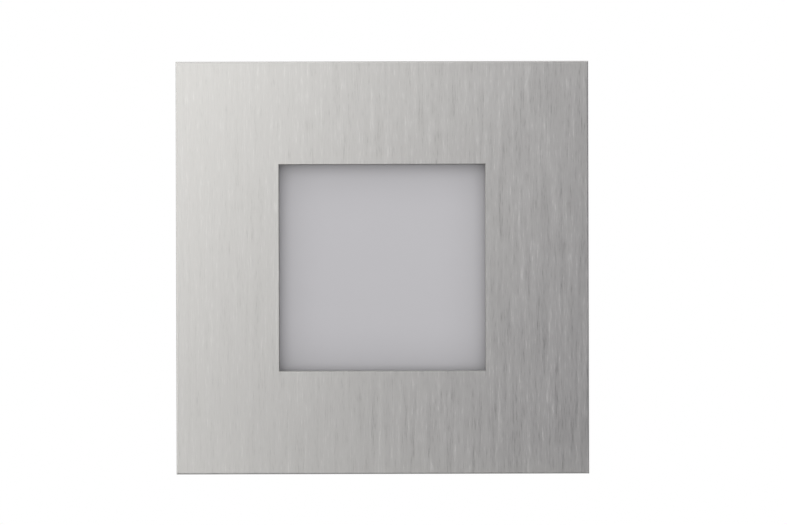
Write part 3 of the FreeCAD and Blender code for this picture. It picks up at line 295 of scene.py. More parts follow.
# ---- Node helpers ----
class Output:
    """An output of a node. Sums written with it make the nodes that work them out."""

    def __init__(self, tree, socket):
        self.tree, self.socket = tree, socket

    def __getitem__(self, name):
        """Another output of the same node."""
        return Output(self.tree, self.socket.node.outputs[name])

    def __add__(self, other):
        return calc("ADD", self, other)

    def __sub__(self, other):
        return calc("SUBTRACT", self, other)

    def __rsub__(self, other):
        return calc("SUBTRACT", other, self)

    def __mul__(self, other):
        return calc("MULTIPLY", self, other)

    def __truediv__(self, other):
        return calc("DIVIDE", self, other)

    def __rtruediv__(self, other):
        return calc("DIVIDE", other, self)

    def __abs__(self):
        return calc("ABSOLUTE", self)


def add(tree, kind, inputs=None, **settings):
    """The first output of a new node. Each input is given as a value, or as the output that feeds it."""
    node = tree.nodes.new(kind)
    for name, value in settings.items():
        setattr(node, name, value)
    for key, value in (inputs or {}).items():
        if isinstance(value, Output):
            tree.links.new(value.socket, node.inputs[key])
        else:
            node.inputs[key].default_value = value
    return Output(tree, node.outputs[0])


def feed(node, **links):
    """Links outputs to a node's inputs, with _ for each space in their names."""
    for key, value in links.items():
        value.tree.links.new(value.socket, node.inputs[key.replace("_", " ")])


def calc(operation, *values):
    """The result of one sum on numbers and outputs."""
    tree = next(value.tree for value in values if isinstance(value, Output))
    return add(tree, "ShaderNodeMath", dict(enumerate(values)), operation=operation)


def vector_calc(operation, first, second=(0.0, 0.0, 0.0)):
    return add(first.tree, "ShaderNodeVectorMath", {0: first, 1: second}, operation=operation)


def scaled(vector, factor):
    """A vector or a colour times an output."""
    vector = vector if isinstance(vector, Output) else tuple(vector)
    return add(factor.tree, "ShaderNodeVectorMath", {0: vector, "Scale": factor}, operation="SCALE")


def vector_of(tree, x=0.0, y=0.0, z=0.0):
    return add(tree, "ShaderNodeCombineXYZ", {0: x, 1: y, 2: z})


def axes(vector):
    """The X, Y and Z of a vector."""
    return add(vector.tree, "ShaderNodeSeparateXYZ", {0: vector})


def remap(value, low, high, to_low=0.0, to_high=1.0):
    """A value moved from one range to another, kept inside it."""
    inputs = {"Value": value, "From Min": low, "From Max": high, "To Min": to_low, "To Max": to_high}
    return add(value.tree, "ShaderNodeMapRange", inputs)


def ranged(value, low, high):
    """A value from 0 to 1, moved to another range."""
    return remap(value, 0.0, 1.0, low, high)


def over(value, mark, blur=0.03 * MM):
    """1 where a value is over a mark, and 0 under it."""
    return remap(value, mark - blur, mark + blur)


def ripple(value, pitch):
    """A wave from 0 to 1 along a value."""
    return calc("SINE", value * (math.tau / pitch)) * 0.5 + 0.5


def mixed(factor, first, second):
    """A number between two others."""
    return add(factor.tree, "ShaderNodeMix", {"Factor": factor, 2: first, 3: second}, data_type="FLOAT")


def mixed_colours(factor, first, second):
    """A colour between two others."""
    first, second = (end if isinstance(end, Output) else (*end[:3], 1.0) for end in (first, second))
    return add(factor.tree, "ShaderNodeMix", {"Factor": factor, 6: first, 7: second}, data_type="RGBA")[2]


def object_place(tree, scale=(1.0, 1.0, 1.0), location=(0.0, 0.0, 0.0)):
    """Object coordinates in metres, moved and then scaled."""
    source = add(tree, "ShaderNodeTexCoord")["Object"]
    if any(location):
        source = add(tree, "ShaderNodeMapping", {"Vector": source, "Location": location})
    return add(tree, "ShaderNodeMapping", {"Vector": source, "Scale": scale})


def facing(tree, axis):
    """How far a face looks along an axis, from -1 to 1."""
    return axes(add(tree, "ShaderNodeTexCoord")["Normal"])[axis]


def noise(vector, detail, roughness=0.5):
    inputs = {"Vector": vector, "Scale": 1.0, "Detail": detail, "Roughness": roughness}
    return add(vector.tree, "ShaderNodeTexNoise", inputs)["Fac"]


def bump(height, distance):
    return add(height.tree, "ShaderNodeBump", {"Height": height, "Distance": distance, "Strength": 1.0})


def numbers(*names):
    """Sockets that hold numbers."""
    return dict.fromkeys(names, "NodeSocketFloat")


def new_group(kind, name, inputs, outputs):
    """The inputs and the end node of a new group, whose sockets are given by name and kind."""
    tree = bpy.data.node_groups.new(name, kind)
    for in_out, sockets in (("INPUT", inputs), ("OUTPUT", outputs)):
        for socket, socket_kind in sockets.items():
            tree.interface.new_socket(socket, in_out=in_out, socket_type=socket_kind)
    return Output(tree, tree.nodes.new("NodeGroupInput").outputs[0]), tree.nodes.new("NodeGroupOutput")


def directional_grain():
    """Fine scratches along one direction, and slow bands across them."""
    inputs = {"Vector": "NodeSocketVector", **numbers("Tone", "Patch")}
    given, end = new_group("ShaderNodeTree", "Directional Grain", inputs, numbers("Height", "Shade", "Streak"))
    vector = given["Vector"]
    fine = noise(vector, 3.0, 0.65)
    coarse = noise(vector_calc("MULTIPLY", vector, (0.31, 0.31, 0.22)), 2.0)
    slow = noise(vector_calc("MULTIPLY", vector, (0.012, 0.012, 0.08)), 2.0)
    height = fine * 0.65 + coarse * 0.35
    streak = remap(height, 0.35, 0.65)
    signed = streak * 2.0 - 1.0
    shade = signed * abs(signed) * given["Tone"] + 1.0
    feed(end, Height=height, Shade=(slow - 0.5) * given["Patch"] + shade, Streak=streak)
    return given.tree


def skin_texture():
    """A fine all-over texture with blotches, for castings, mouldings and foam."""
    inputs = {"Vector": "NodeSocketVector", **numbers("Blotch Size", "Tone")}
    given, end = new_group("ShaderNodeTree", "Skin Texture", inputs, numbers("Height", "Shade", "Blotch"))
    vector = given["Vector"]
    fine = noise(vector, 3.0, 0.6)
    cell = add(vector.tree, "ShaderNodeTexVoronoi", {"Vector": vector, "Scale": 0.6})["Distance"]
    blotch = noise(scaled(vector, 1.0 / given["Blotch Size"]), 3.0, 0.55)
    shade = (blotch - 0.5) * given["Tone"] + 1.0
    feed(end, Height=cell * 0.5 + fine * 0.6, Shade=shade, Blotch=remap(blotch, 0.35, 0.65))
    return given.tree


def settled_dust():
    """A mask of dust that lies on faces that look up."""
    inputs = {"Vector": "NodeSocketVector", **numbers("Amount")}
    given, end = new_group("ShaderNodeTree", "Settled Dust", inputs, numbers("Mask"))
    upward = remap(facing(given.tree, "Z"), 0.3, 1.0)
    patchy = remap(noise(given["Vector"], 4.0, 0.6), 0.35, 0.7, 0.2, 1.0)
    feed(end, Mask=upward * patchy * given["Amount"])
    return given.tree


GROUPS = {}


def placed_group(maker, vector, inputs):
    """A shader group node in a material. Each maker builds its group once."""
    if maker not in GROUPS:
        GROUPS[maker] = maker()
    return add(vector.tree, "ShaderNodeGroup", {"Vector": vector, **inputs}, node_tree=GROUPS[maker])


def fine_skin(tree, grain=0.25 * MM, tone=0.12, blotch=10.0):
    """The skin group on plain Object coordinates."""
    vector = object_place(tree, [1.0 / grain] * 3)
    return placed_group(skin_texture, vector, {"Blotch Size": blotch, "Tone": tone})


def shader(name, **plain):
    """A new material and its tree, with its constants set on the sockets of the shader itself."""
    material = bpy.data.materials.new(name)
    material.use_nodes = True
    for key, value in plain.items():
        socket = material.node_tree.nodes["Principled BSDF"].inputs[key.replace("_", " ")]
        socket.default_value = (*value, 1.0) if socket.type == "RGBA" else value
    return material, material.node_tree


def painted(material, **links):
    """The material, with these outputs linked to its shader."""
    feed(material.node_tree.nodes["Principled BSDF"], **links)
    return material


def dress(material, *names):
    """Gives CAD nodes or pieces a material, in every slot they have."""
    for name in names:
        materials = bpy.data.objects[name].data.materials
        materials.clear()
        materials.append(material)


# ---- Finishes ----
def brushed_steel(name, base, roughness, across, along, depth, tone, patch, direction):
    """Steel with scratches along one direction."""
    material, tree = shader(name, Metallic=1.0)
    scale = [1.0 / across] * 3
    scale["XYZ".index(direction)] = 1.0 / along
    grain = placed_group(directional_grain, object_place(tree, scale), {"Tone": tone, "Patch": patch})
    return painted(
        material,
        Base_Color=scaled(base, grain["Shade"]),
        Roughness=ranged(grain["Streak"], roughness - 0.04, roughness + 0.04),
        Normal=bump(grain["Height"], depth),
    )


def faceplate_steel(s):
    """Vertical scratches whose contrast grows towards the right as painted light, painted shade along the eased rim,
    and dull punched edges darkened further with painted shade.
    """
    material, tree = shader("Brushed Stainless", Metallic=1.0)
    spot = axes(object_place(tree))
    side = limit("fascia", HIGH, X)
    # Painted light: the scratches' contrast rises towards the right, standing in for how the soft lamp's reflection
    # falls off across the plate.
    painted_streak_contrast = remap(spot["X"], -side, side, s.grain_tone, s.painted_grain_tone_right)
    out = calc("MAXIMUM", abs(spot["X"]), abs(spot["Z"]))
    inner, blur = side - s.rim_width, 0.05 * MM
    # Painted shade along the plate's eased outer rim.
    painted_rim_shade = remap(out, inner - blur, inner + blur, 1.0, s.rim)
    vector = object_place(tree, (1.0 / s.grain_width, 1.0 / s.grain_width, 1.0 / s.grain_length))
    grain = placed_group(directional_grain, vector, {"Tone": painted_streak_contrast, "Patch": s.patches})
    # The cut edges, which don't face along Y: a duller colour, darker still as painted shade on the window's walls.
    edge = remap(abs(facing(tree, "Y")), 0.75, 0.98, 1.0, 0.0)
    base = mixed_colours(edge, scaled(s.steel, grain["Shade"]), s.punched_edge)
    smooth = ranged(grain["Streak"], s.roughness - 0.04, s.roughness + 0.04)
    scratches = bump(grain["Height"], s.grain_depth)
    return painted(material, Base_Color=scaled(base, painted_rim_shade), Roughness=edge * 0.15 + smooth, Normal=scratches)


def textured(name, base, roughness, grain, depth, metallic=0.0, tone=0.1, blotch=14.0, dust=0.0, **plain):
    """A moulded, cast or rubbery skin with blotches of roughness and some dust on what looks up."""
    material, tree = shader(name, Metallic=metallic, **plain)
    skin = fine_skin(tree, grain, tone, blotch)
    shown = scaled(base, skin["Shade"])
    rough = ranged(skin["Blotch"], roughness - 0.06, roughness + 0.06)
    if dust:
        mask = placed_group(settled_dust, object_place(tree, DUST_PATCHES), {"Amount": dust})
        shown = mixed_colours(mask, shown, DUST)
        rough = calc("MAXIMUM", rough, mask)
    return painted(material, Base_Color=shown, Roughness=rough, Normal=bump(skin["Height"], depth))


def frosted_glass(s):
    """Glass that is even in its middle, with painted shade near its edge where the faceplate's edge shades it and
    light leaves it sideways.
    """
    material, tree = shader(
        "Frosted Glass", Metallic=0.0, Transmission_Weight=s.see_through, IOR=1.46, Specular_IOR_Level=0.35
    )
    skin = fine_skin(tree, 0.125 * MM, 0.02, 60.0)
    spot = axes(object_place(tree))
    across, up = (remap(abs(spot[axis]), s.half_side - s.painted_shade_reach, s.half_side) for axis in "XZ")
    return painted(
        material,
        # Painted shade: the glass's colour falls towards the window's edge.
        Base_Color=scaled(s.glass, skin["Shade"] - (across * across + up * up) * s.painted_edge_shade),
        Roughness=ranged(skin["Blotch"], s.roughness - 0.02, s.roughness + 0.02),
        Normal=bump(skin["Height"], 0.002 * MM),
    )


def led_finish(s):
    """White LED packages with a yellow phosphor disc in front."""
    material, tree = shader("LED Package", IOR=1.5)
    y = axes(object_place(tree))["Y"]
    disc = over(y * -1.0, -(limit("led_chips", LOW, Y) + 0.12 * MM), 0.01 * MM)
    skin = fine_skin(tree, 0.12 * MM, 0.16, 5.0)
    base = scaled(mixed_colours(disc, WHITE_PLASTIC, s.phosphor), skin["Shade"])
    rough = ranged(disc, 0.35, 0.55)
    return painted(material, Base_Color=base, Roughness=rough, Normal=bump(skin["Height"], 0.004 * MM))


def copper_gaps(flat, width, height, gap):
    """The bare gaps between areas of copper on a board."""
    sizes = {"Vector": flat, "Scale": 1.0, "Brick Width": width, "Row Height": height}
    sizes |= {"Mortar Size": gap / 2, "Mortar Smooth": 0.3}
    return add(flat.tree, "ShaderNodeTexBrick", sizes, offset=0.37)["Fac"]


def board_finish(name, mask, core, metal_core, roughness, areas, tracks, gap_shade):
    """A printed board: copper that shows through the mask on its faces, and the bare core on its edges."""
    material, tree = shader(name, IOR=1.5)
    bare = remap(abs(facing(tree, "Y")), 0.4, 0.9, 1.0, 0.0)
    spot = axes(object_place(tree))
    flat = vector_of(tree, spot["X"], spot["Z"])
    region = over(noise(object_place(tree, (110.0, 0.0, 110.0)), 0.0), 0.5, 0.005)
    gaps = mixed(region, copper_gaps(flat, *areas), copper_gaps(flat, *tracks))
    skin = fine_skin(tree, 0.2 * MM, 0.08)
    face = scaled(scaled(mask, skin["Shade"]), ranged(gaps, 1.0, gap_shade))
    edge = scaled(core, ranged(ripple(spot["Y"], 0.2 * MM), 0.85, 1.05))
    return painted(
        material,
        Base_Color=mixed_colours(bare, face, edge),
        Roughness=ranged(skin["Blotch"], roughness - 0.05, roughness + 0.05),
        Normal=bump(skin["Height"] * 0.06 - gaps, 0.04 * MM),
        **({"Metallic": bare} if metal_core else {}),
    )


def can_finish(name, node, sleeve):
    """A capacitor's shrink sleeve with a pale stripe down one side, and the can's bare scored top."""
    material, tree = shader(name, IOR=1.5)
    middle = middle_of(node)
    spot = axes(object_place(tree, location=(-middle[X], -limit(node, HIGH, Y), -middle[Z])))
    out = vector_calc("LENGTH", vector_of(tree, spot["X"], spot["Z"]))["Value"]
    bare = (1.0 - over(out, span(node, X) / 2 - 0.8 * MM)) * over(spot["Y"], -0.08 * MM)
    stripe = over(spot["X"] / out, 0.93, 0.01)
    skin = fine_skin(tree)
    striped = scaled(mixed_colours(stripe, sleeve, CAN_STRIPE), skin["Shade"])
    scored = over(calc("MINIMUM", abs(spot["X"]), abs(spot["Z"])), 0.18 * MM, 0.1 * MM)
    return painted(
        material,
        Base_Color=mixed_colours(bare, striped, BARE_METAL),
        Metallic=bare,
        Roughness=ranged(skin["Blotch"], 0.24, 0.34),
        Normal=bump(scored * bare + skin["Height"] * 0.03, 0.1 * MM),
    )


def banded_resistor():
    """Pale enamel with coloured bands round it."""
    material, tree = shader("Resistor Enamel", IOR=1.5)
    ends = (limit("fuse_resistor", end, Y) for end in (LOW, HIGH))
    ramp = add(tree, "ShaderNodeValToRGB", {0: remap(axes(object_place(tree))["Y"], *ends)})
    stops = ramp.socket.node.color_ramp
    stops.interpolation = "CONSTANT"
    stops.elements.remove(stops.elements[1])
    stops.elements[0].color = (*BANDS[0][1], 1.0)
    for at, band in BANDS[1:]:
        stops.elements.new(at).color = (*band, 1.0)
    skin = fine_skin(tree)
    base, rough = scaled(ramp, skin["Shade"]), ranged(skin["Blotch"], 0.26, 0.36)
    return painted(material, Base_Color=base, Roughness=rough, Normal=bump(skin["Height"], 0.01 * MM))


def wound_finish(name, node, core, wire, pitch, depth, cheek):
    """Turns of wire or tape between two cheeks, wound round the Y axis, with painted shade in the grooves between
    turns.
    """
    material, tree = shader(name, IOR=1.5)
    y = axes(object_place(tree))["Y"]
    foot = 1.0 - over(y, limit(node, LOW, Y) + cheek)
    cheeks = calc("MAXIMUM", foot, over(y, limit(node, HIGH, Y) - cheek))
    turns = ripple(y, pitch)
    skin = fine_skin(tree)
    # Painted shade: the wire is darker in the grooves between turns, following the bump's wave.
    base = mixed_colours(cheeks, scaled(wire, ranged(turns, 0.7, 1.05)), core)
    return painted(
        material,
        Base_Color=scaled(base, skin["Shade"]),
        Roughness=ranged(cheeks, 0.32, 0.6),
        Normal=bump(skin["Height"] * 0.05 + turns * (1.0 - cheeks), depth),
    )


def lead_finish(name, insulation, stripe, stripe_from, bare_from, bare_to):
    """Insulation with a stripe along its back, and tinned strands where it is stripped."""
    material, tree = shader(name, IOR=1.5)
    spot = axes(object_place(tree))
    bare = remap(spot["Z"], bare_from, bare_to, 1.0, 0.0)
    skin = fine_skin(tree)
    striped = mixed_colours(over(spot["Y"], stripe_from), insulation, stripe)
    strands = ripple(spot["X"] + spot["Z"] * 0.6, 0.25 * MM)
    return painted(
        material,
        Base_Color=mixed_colours(bare, scaled(striped, skin["Shade"]), TIN),
        Metallic=bare,
        Roughness=ranged(skin["Blotch"], 0.34, 0.46),
        Normal=bump(strands * bare + skin["Height"] * 0.1, 0.05 * MM),
    )


# ---- Shape helpers ----
def evaluated(thing):
    """A plain mesh of what an object comes to with its modifiers."""
    bpy.context.view_layer.update()
    return bpy.data.meshes.new_from_object(thing.evaluated_get(bpy.context.evaluated_depsgraph_get()))


def plain_mesh(piece):
    """Turns a piece's modifiers into a plain mesh, and takes them off."""
    mesh = evaluated(piece)
    mesh.name = piece.name
    piece.modifiers.clear()
    piece.data = mesh
    return piece


def new_piece(name, mesh=None):
    piece = bpy.data.objects.new(name, mesh or bpy.data.meshes.new(name))
    bpy.context.scene.collection.objects.link(piece)
    return piece


def merged(name, mesh, from_cad):
    """A smooth copy of a mesh as one closed skin, with the CAD's flat faces whole."""
    shape = bmesh.new()
    shape.from_mesh(mesh)
    bmesh.ops.remove_doubles(shape, verts=shape.verts, dist=1e-6)
    if from_cad:
        bmesh.ops.dissolve_limit(shape, angle_limit=math.radians(1.0), verts=shape.verts, edges=shape.edges)
    else:
        bmesh.ops.recalc_face_normals(shape, faces=shape.faces)
    skin = bpy.data.meshes.new(name)
    shape.to_mesh(skin)
    shape.free()
    skin.shade_smooth()
    return skin


def hand_over(piece, node=None, body="light"):
    """Hides the node that a piece stands for, and hangs the piece on the body it rides on."""
    if node:
        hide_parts(node)
    if body:
        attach(piece, body)


def rounded(node, name, width, material, body="light", segments=2):
    """A copy of a CAD node as one closed mesh with rounded edges. It stands for the node."""
    piece = new_piece(name, merged(name, NODES[node].data, True))
    bevel = piece.modifiers.new("Rounding", "BEVEL")
    bevel.width = width
    bevel.segments = segments
    bevel.limit_method = "ANGLE"
    bevel.angle_limit = math.radians(30.0)
    bevel.miter_outer = "MITER_ARC"
    piece.modifiers.new("Flat Faces", "WEIGHTED_NORMAL").weight = 100
    plain_mesh(piece)
    dress(material, name)
    hand_over(piece, node, body)


def smooth_lead(node, route, diameter, material):
    """A lead on one smooth line. It stands for the node."""
    name = f"{node}_wire"
    line = bpy.data.curves.new(name, "CURVE")
    line.dimensions = "3D"
    line.bevel_depth = diameter / 2
    line.bevel_resolution = 5
    line.use_fill_caps = True
    spline = line.splines.new("NURBS")
    spline.points.add(len(route) - 1)
    for point, at in zip(spline.points, route):
        point.co = (*at, 1.0)
    spline.order_u = 3
    spline.use_endpoint_u = True
    spline.resolution_u = 12
    drawn = new_piece(f"{name}_line", line)
    mesh = evaluated(drawn)
    bpy.data.objects.remove(drawn)
    piece = new_piece(name, merged(name, mesh, False))
    dress(material, name)
    hand_over(piece, node)


# ---- Geometry Nodes ----
FLAT = (-math.pi / 2, 0.0, 0.0)  # Turns a shape from the Z axis to the Y axis.


def geometry_group(name, inputs):
    return new_group("GeometryNodeTree", name, inputs, {"Geometry": "NodeSocketGeometry"})


def moved(shape, **inputs):
    """A shape with a Translation, Rotation or Scale."""
    return add(shape.tree, "GeometryNodeTransform", {"Geometry": shape, **inputs})


def swept(path, sides, radius):
    """A closed rod along a path."""
    profile = add(path.tree, "GeometryNodeCurvePrimitiveCircle", {"Resolution": sides, "Radius": radius})
    inputs = {"Curve": path, "Profile Curve": profile, "Fill Caps": True}
    return add(path.tree, "GeometryNodeCurveToMesh", inputs)


def joined(*parts):
    node = add(parts[0].tree, "GeometryNodeJoinGeometry")
    for part in parts:
        feed(node.socket.node, Geometry=part)
    return node


def set_out(points, instance, **inputs):
    """A copy of a shape on every point."""
    inputs = {"Points": points, "Instance": instance, **inputs}
    return add(points.tree, "GeometryNodeInstanceOnPoints", inputs)


def finish_tree(end, shape, material):
    """Smooths a tree's shape, makes its copies real and paints it."""
    smooth = add(shape.tree, "GeometryNodeSetShadeSmooth", {"Geometry": shape})
    real = add(shape.tree, "GeometryNodeRealizeInstances", {"Geometry": smooth})
    feed(end, Geometry=add(shape.tree, "GeometryNodeSetMaterial", {"Geometry": real, "Material": material}))
    return shape.tree


def grown(name, tree, places=(), **values):
    """A plain mesh made by a Geometry Nodes tree with these values, with _ for each space in their names."""
    piece = new_piece(name)
    piece.data.from_pydata(places, [], [])
    modifier = piece.modifiers.new("Shape", "NODES")
    modifier.node_group = tree
    for item in tree.interface.items_tree:
        if item.in_out == "INPUT" and item.name.replace(" ", "_") in values:
            modifier[item.identifier] = values[item.name.replace(" ", "_")]
    return plain_mesh(piece)


def coil_tree(material):
    """A wire wound round the Z axis with two straight legs, each along the coil's tangent."""
    names = ("Wire", "Radius", "Pitch", "Start", "Turn", "First Leg", "Last Leg", "Half Turn", "Step")
    given, end = geometry_group("Wound Wire", {**numbers(*names), "Centre": "NodeSocketVector"})
    tree, radius = given.tree, given["Radius"]
    coil = radius * given["Turn"]
    whole_line = coil + given["First Leg"] + given["Last Leg"]
    points = calc("CEIL", whole_line / given["Step"])
    line = add(tree, "GeometryNodeMeshLine", {"Count": points})
    part = add(tree, "GeometryNodeInputIndex") / (points - 1.0)
    along = part * whole_line - given["First Leg"]
    wound = calc("MINIMUM", calc("MAXIMUM", along, 0.0), coil)
    turned = wound / radius
    heading = turned + given["Start"]
    spare = along - wound
    cosine, sine = calc("COSINE", heading), calc("SINE", heading)
    rise = (turned - given["Turn"] * 0.5) * (given["Pitch"] / math.tau)
    at = vector_of(tree, radius * cosine - spare * sine, radius * sine + spare * cosine, rise)
    at = vector_calc("ADD", at, given["Centre"])
    line = add(tree, "GeometryNodeSetPosition", {"Geometry": line, "Position": at})
    path = add(tree, "GeometryNodeMeshToCurve", {"Mesh": line})
    wire = moved(swept(path, 16, given["Wire"] * 0.5), Rotation=vector_of(tree, y=given["Half Turn"]))
    return finish_tree(end, wire, material)


def rib_tree(material):
    """Grip ribs on the nut's taper: long beads set round the Y axis."""
    inputs = {"Ribs": "NodeSocketInt", **numbers("Width", "Length", "Proud", "Radius", "Slope", "Along")}
    given, end = geometry_group("Grip Ribs", inputs)
    tree = given.tree
    ball = add(tree, "GeometryNodeMeshUVSphere", {"Segments": 10, "Rings": 8, "Radius": 0.5})
    bead = moved(ball, Scale=vector_of(tree, given["Width"], given["Length"], given["Proud"] * 2.0))
    out = vector_of(tree, y=given["Along"], z=given["Radius"])
    bead = moved(bead, Rotation=vector_of(tree, given["Slope"]), Translation=out)
    line = add(tree, "GeometryNodeMeshLine", {"Count": given["Ribs"], "Offset": (0.0, 0.0, 0.0)})
    bearing = add(tree, "GeometryNodeInputIndex") / given["Ribs"] * math.tau
    turn = add(tree, "FunctionNodeEulerToRotation", {0: vector_of(tree, y=bearing)})
    return finish_tree(end, set_out(line, bead, Rotation=turn), material)


def thread_tree(material):
    """Threaded studs along Y on the four corners of an oblong: a plain core, and a ridge wound round it."""
    names = ("Core", "Ridge", "Pitch", "Turns", "Plain Length", "Length", "Across", "Up", "Middle")
    given, end = geometry_group("Threaded Studs", numbers(*names))
    tree, core = given.tree, given["Core"]
    inputs = {"Resolution": 20, "Rotations": given["Turns"], "Start Radius": core, "End Radius": core}
    helix = add(tree, "GeometryNodeCurveSpiral", {**inputs, "Height": given["Pitch"] * given["Turns"]})
    upright = add(tree, "GeometryNodeSetCurveNormal", {"Curve": helix})
    foot = given["Length"] * -0.5 + given["Plain Length"]
    ridge = moved(swept(upright, 4, given["Ridge"]), Translation=vector_of(tree, z=foot))
    rod = add(tree, "GeometryNodeMeshCylinder", {"Vertices": 24, "Radius": core, "Depth": given["Length"]})
    stud = moved(joined(rod, ridge), Rotation=FLAT)
    inputs = {"Size X": given["Across"], "Size Y": given["Up"], "Vertices X": 2, "Vertices Y": 2}
    places = add(tree, "GeometryNodeMeshGrid", inputs)
    places = moved(places, Rotation=FLAT, Translation=vector_of(tree, y=given["Middle"]))
    return finish_tree(end, set_out(places, stud), material)


def solder_tree(material):
    """A bead of solder and the end of a pin on every point of the given mesh, along Y."""
    inputs = {"Places": "NodeSocketGeometry", **numbers("Radius", "Height", "Pin", "Pin Reach")}
    given, end = geometry_group("Solder Joints", inputs)
    tree, radius = given.tree, given["Radius"]
    ball = add(tree, "GeometryNodeMeshUVSphere", {"Segments": 14, "Rings": 8, "Radius": 1.0})
    bead = moved(ball, Scale=vector_of(tree, radius, given["Height"], radius))
    depth = (given["Height"] + given["Pin Reach"]) * 2.0
    pin = add(tree, "GeometryNodeMeshCylinder", {"Vertices": 12, "Radius": given["Pin"], "Depth": depth})
    joint = joined(bead, moved(pin, Rotation=FLAT))
    return finish_tree(end, set_out(given["Places"], joint), material)


# ---- The stage and the pieces ----
class StepLightStage(bpy.types.Operator):
    """Makes the camera, the lamps, the even surroundings and the floor"""

    bl_idname = "step_light.stage"
    bl_label = "Stage"

    def execute(self, context):
        scene, s = context.scene, context.scene.step_light_stage
        scene.view_settings.view_transform = "Standard"
        camera = new_piece("Camera", bpy.data.cameras.new("Camera"))
        camera.location = s.camera_at
        camera.rotation_euler = (math.pi / 2, s.camera_roll, 0.0)
        camera.data.sensor_width = SENSOR
        camera.data.lens = SENSOR * (FACE_Y - s.camera_at[Y]) / s.view_width
        scene.camera = camera
        self.lamp(s, "Soft Lamp", s.lamp_at, s.lamp_power, True)
        self.lamp(s, "Matt Lamp", s.matt_lamp_at, s.matt_lamp_power, False)
        self.surroundings(scene, s)
        self.floor(s)
        return {"FINISHED"}

    def lamp(self, s, name, at, energy, mirrored):
        """A large lamp that either mirrors in metal or lights matt surfaces."""
        data = bpy.data.lights.new(name, "AREA")
        data.shape = "SQUARE"
        data.size = s.lamp_side
        data.energy = energy
        data.color = s.lamp_colour
        lamp = new_piece(name, data)
        lamp.location = at
        lamp.rotation_euler = (-Vector(at)).to_track_quat("-Z", "Y").to_euler()
        lamp.visible_camera = False
        lamp.visible_glossy = lamp.visible_transmission = mirrored
        lamp.visible_diffuse = not mirrored

    def surroundings(self, scene, s):
        """White to the camera, even for matt surfaces, and darker in front where the faceplate mirrors."""
        world = bpy.data.worlds.new("Surroundings")
        world.use_nodes = True
        tree = world.node_tree
        forward = axes(add(tree, "ShaderNodeTexCoord")["Generated"])["Y"]
        sideways = remap(forward, *FRONT_REFLECTION)
        rays = add(tree, "ShaderNodeLightPath")
        glossy = rays["Is Glossy Ray"]
        strength = mixed(glossy, s.fill_level, ranged(sideways, s.front_level, s.side_level))
        clear = calc("MAXIMUM", rays["Is Camera Ray"], rays["Is Transmission Ray"])
        tint = mixed_colours(sideways, s.front_colour, WHITE)
        feed(tree.nodes["Background"], Strength=mixed(clear, strength, 1.0), Color=mixed_colours(glossy, WHITE, tint))
        scene.world = world

    def floor(self, s):
        """A pale floor below the light, white to the camera at its edges and grey in the light's shadow."""
        corners = ((-1, -1), (1, -1), (1, 1), (-1, 1))
        points = [(x * FLOOR_HALF_WIDTH, FLOOR_MIDDLE + y * FLOOR_HALF_DEPTH, -s.floor_drop) for x, y in corners]
        floor = new_piece("Floor")
        floor.data.from_pydata(points, [], [(0, 1, 2, 3)])
        material, tree = shader("Pale Floor", Roughness=0.9, Emission_Color=WHITE)
        speck = noise(object_place(tree, (40.0, 40.0, 40.0)), 3.0)
        spot = axes(object_place(tree, location=(0.0, -FLOOR_MIDDLE, 0.0)))
        across, back = remap(abs(spot["X"]), *FLOOR_FADE_ACROSS), remap(abs(spot["Y"]), *FLOOR_FADE_BACK)
        glow = ranged(calc("MAXIMUM", across, back), FLOOR_GLOW, 1.0)
        seen = add(tree, "ShaderNodeLightPath")["Is Camera Ray"]
        shown = scaled(s.floor_colour, remap(speck, 0.3, 0.7, 0.98, 1.0))
        dress(painted(material, Base_Color=shown, Emission_Strength=seen * glow), "Floor")


class StepLightFascia(bpy.types.Operator):
    """Gives the faceplate its vertical brushed grain"""

    bl_idname = "step_light.fascia"
    bl_label = "Faceplate"

    def execute(self, context):
        dress(faceplate_steel(context.scene.step_light_fascia), "fascia")
        return {"FINISHED"}


class StepLightWindow(bpy.types.Operator):
    """Makes the frosted window and the silicone seal round it"""

    bl_idname = "step_light.window"
    bl_label = "Window and seal"

    def execute(self, context):
        s, seals = context.scene.step_light_window, context.scene.step_light_seals
        dress(frosted_glass(s), "window_glass")
        silicone = textured("Grey Silicone", s.silicone, 0.55, 0.3 * MM, 0.02 * MM, tone=0.08)
        rounded("window_seal", "window_seal_moulding", seals.rounding, silicone)
        return {"FINISHED"}


class StepLightSeals(bpy.types.Operator):
    """Makes the foam wall gasket and the rubber seals"""

    bl_idname = "step_light.seals"
    bl_label = "Gasket and rubber seals"

    def execute(self, context):
        s = context.scene.step_light_seals
        look = {"tone": 0.35, "blotch": 8.0, "dust": 0.12, "Specular_IOR_Level": 0.2}
        foam = textured("Black Foam", s.foam, 0.92, s.foam_cell, 0.12 * MM, **look)
        rubber = textured("Black Rubber", s.rubber, 0.62, 0.25 * MM, 0.01 * MM, tone=0.2, dust=0.1)
        rounded("wall_gasket", "wall_gasket_foam", s.foam_rounding, foam, segments=3)
        for node in ("cover_seal", "gland_washer", "gland_seal", "lead_grommet"):
            rounded(node, f"{node}_moulding", s.rounding, rubber, segments=3)
        return {"FINISHED"}


class StepLightCasting(bpy.types.Operator):
    """Makes the finned housing and the rear cover with the rounded edges of a casting"""

    bl_idname = "step_light.casting"
    bl_label = "Housing and cover"

    def execute(self, context):
        s = context.scene.step_light_casting
        look = {"metallic": 1.0, "tone": 0.10, "blotch": 25.0, "dust": 0.12}
        alloy = textured("Cast Aluminium", s.alloy, s.roughness, s.grain, 0.02 * MM, **look)
        for node in ("housing", "rear_cover"):
            rounded(node, f"{node}_casting", s.rounding, alloy)
        return {"FINISHED"}


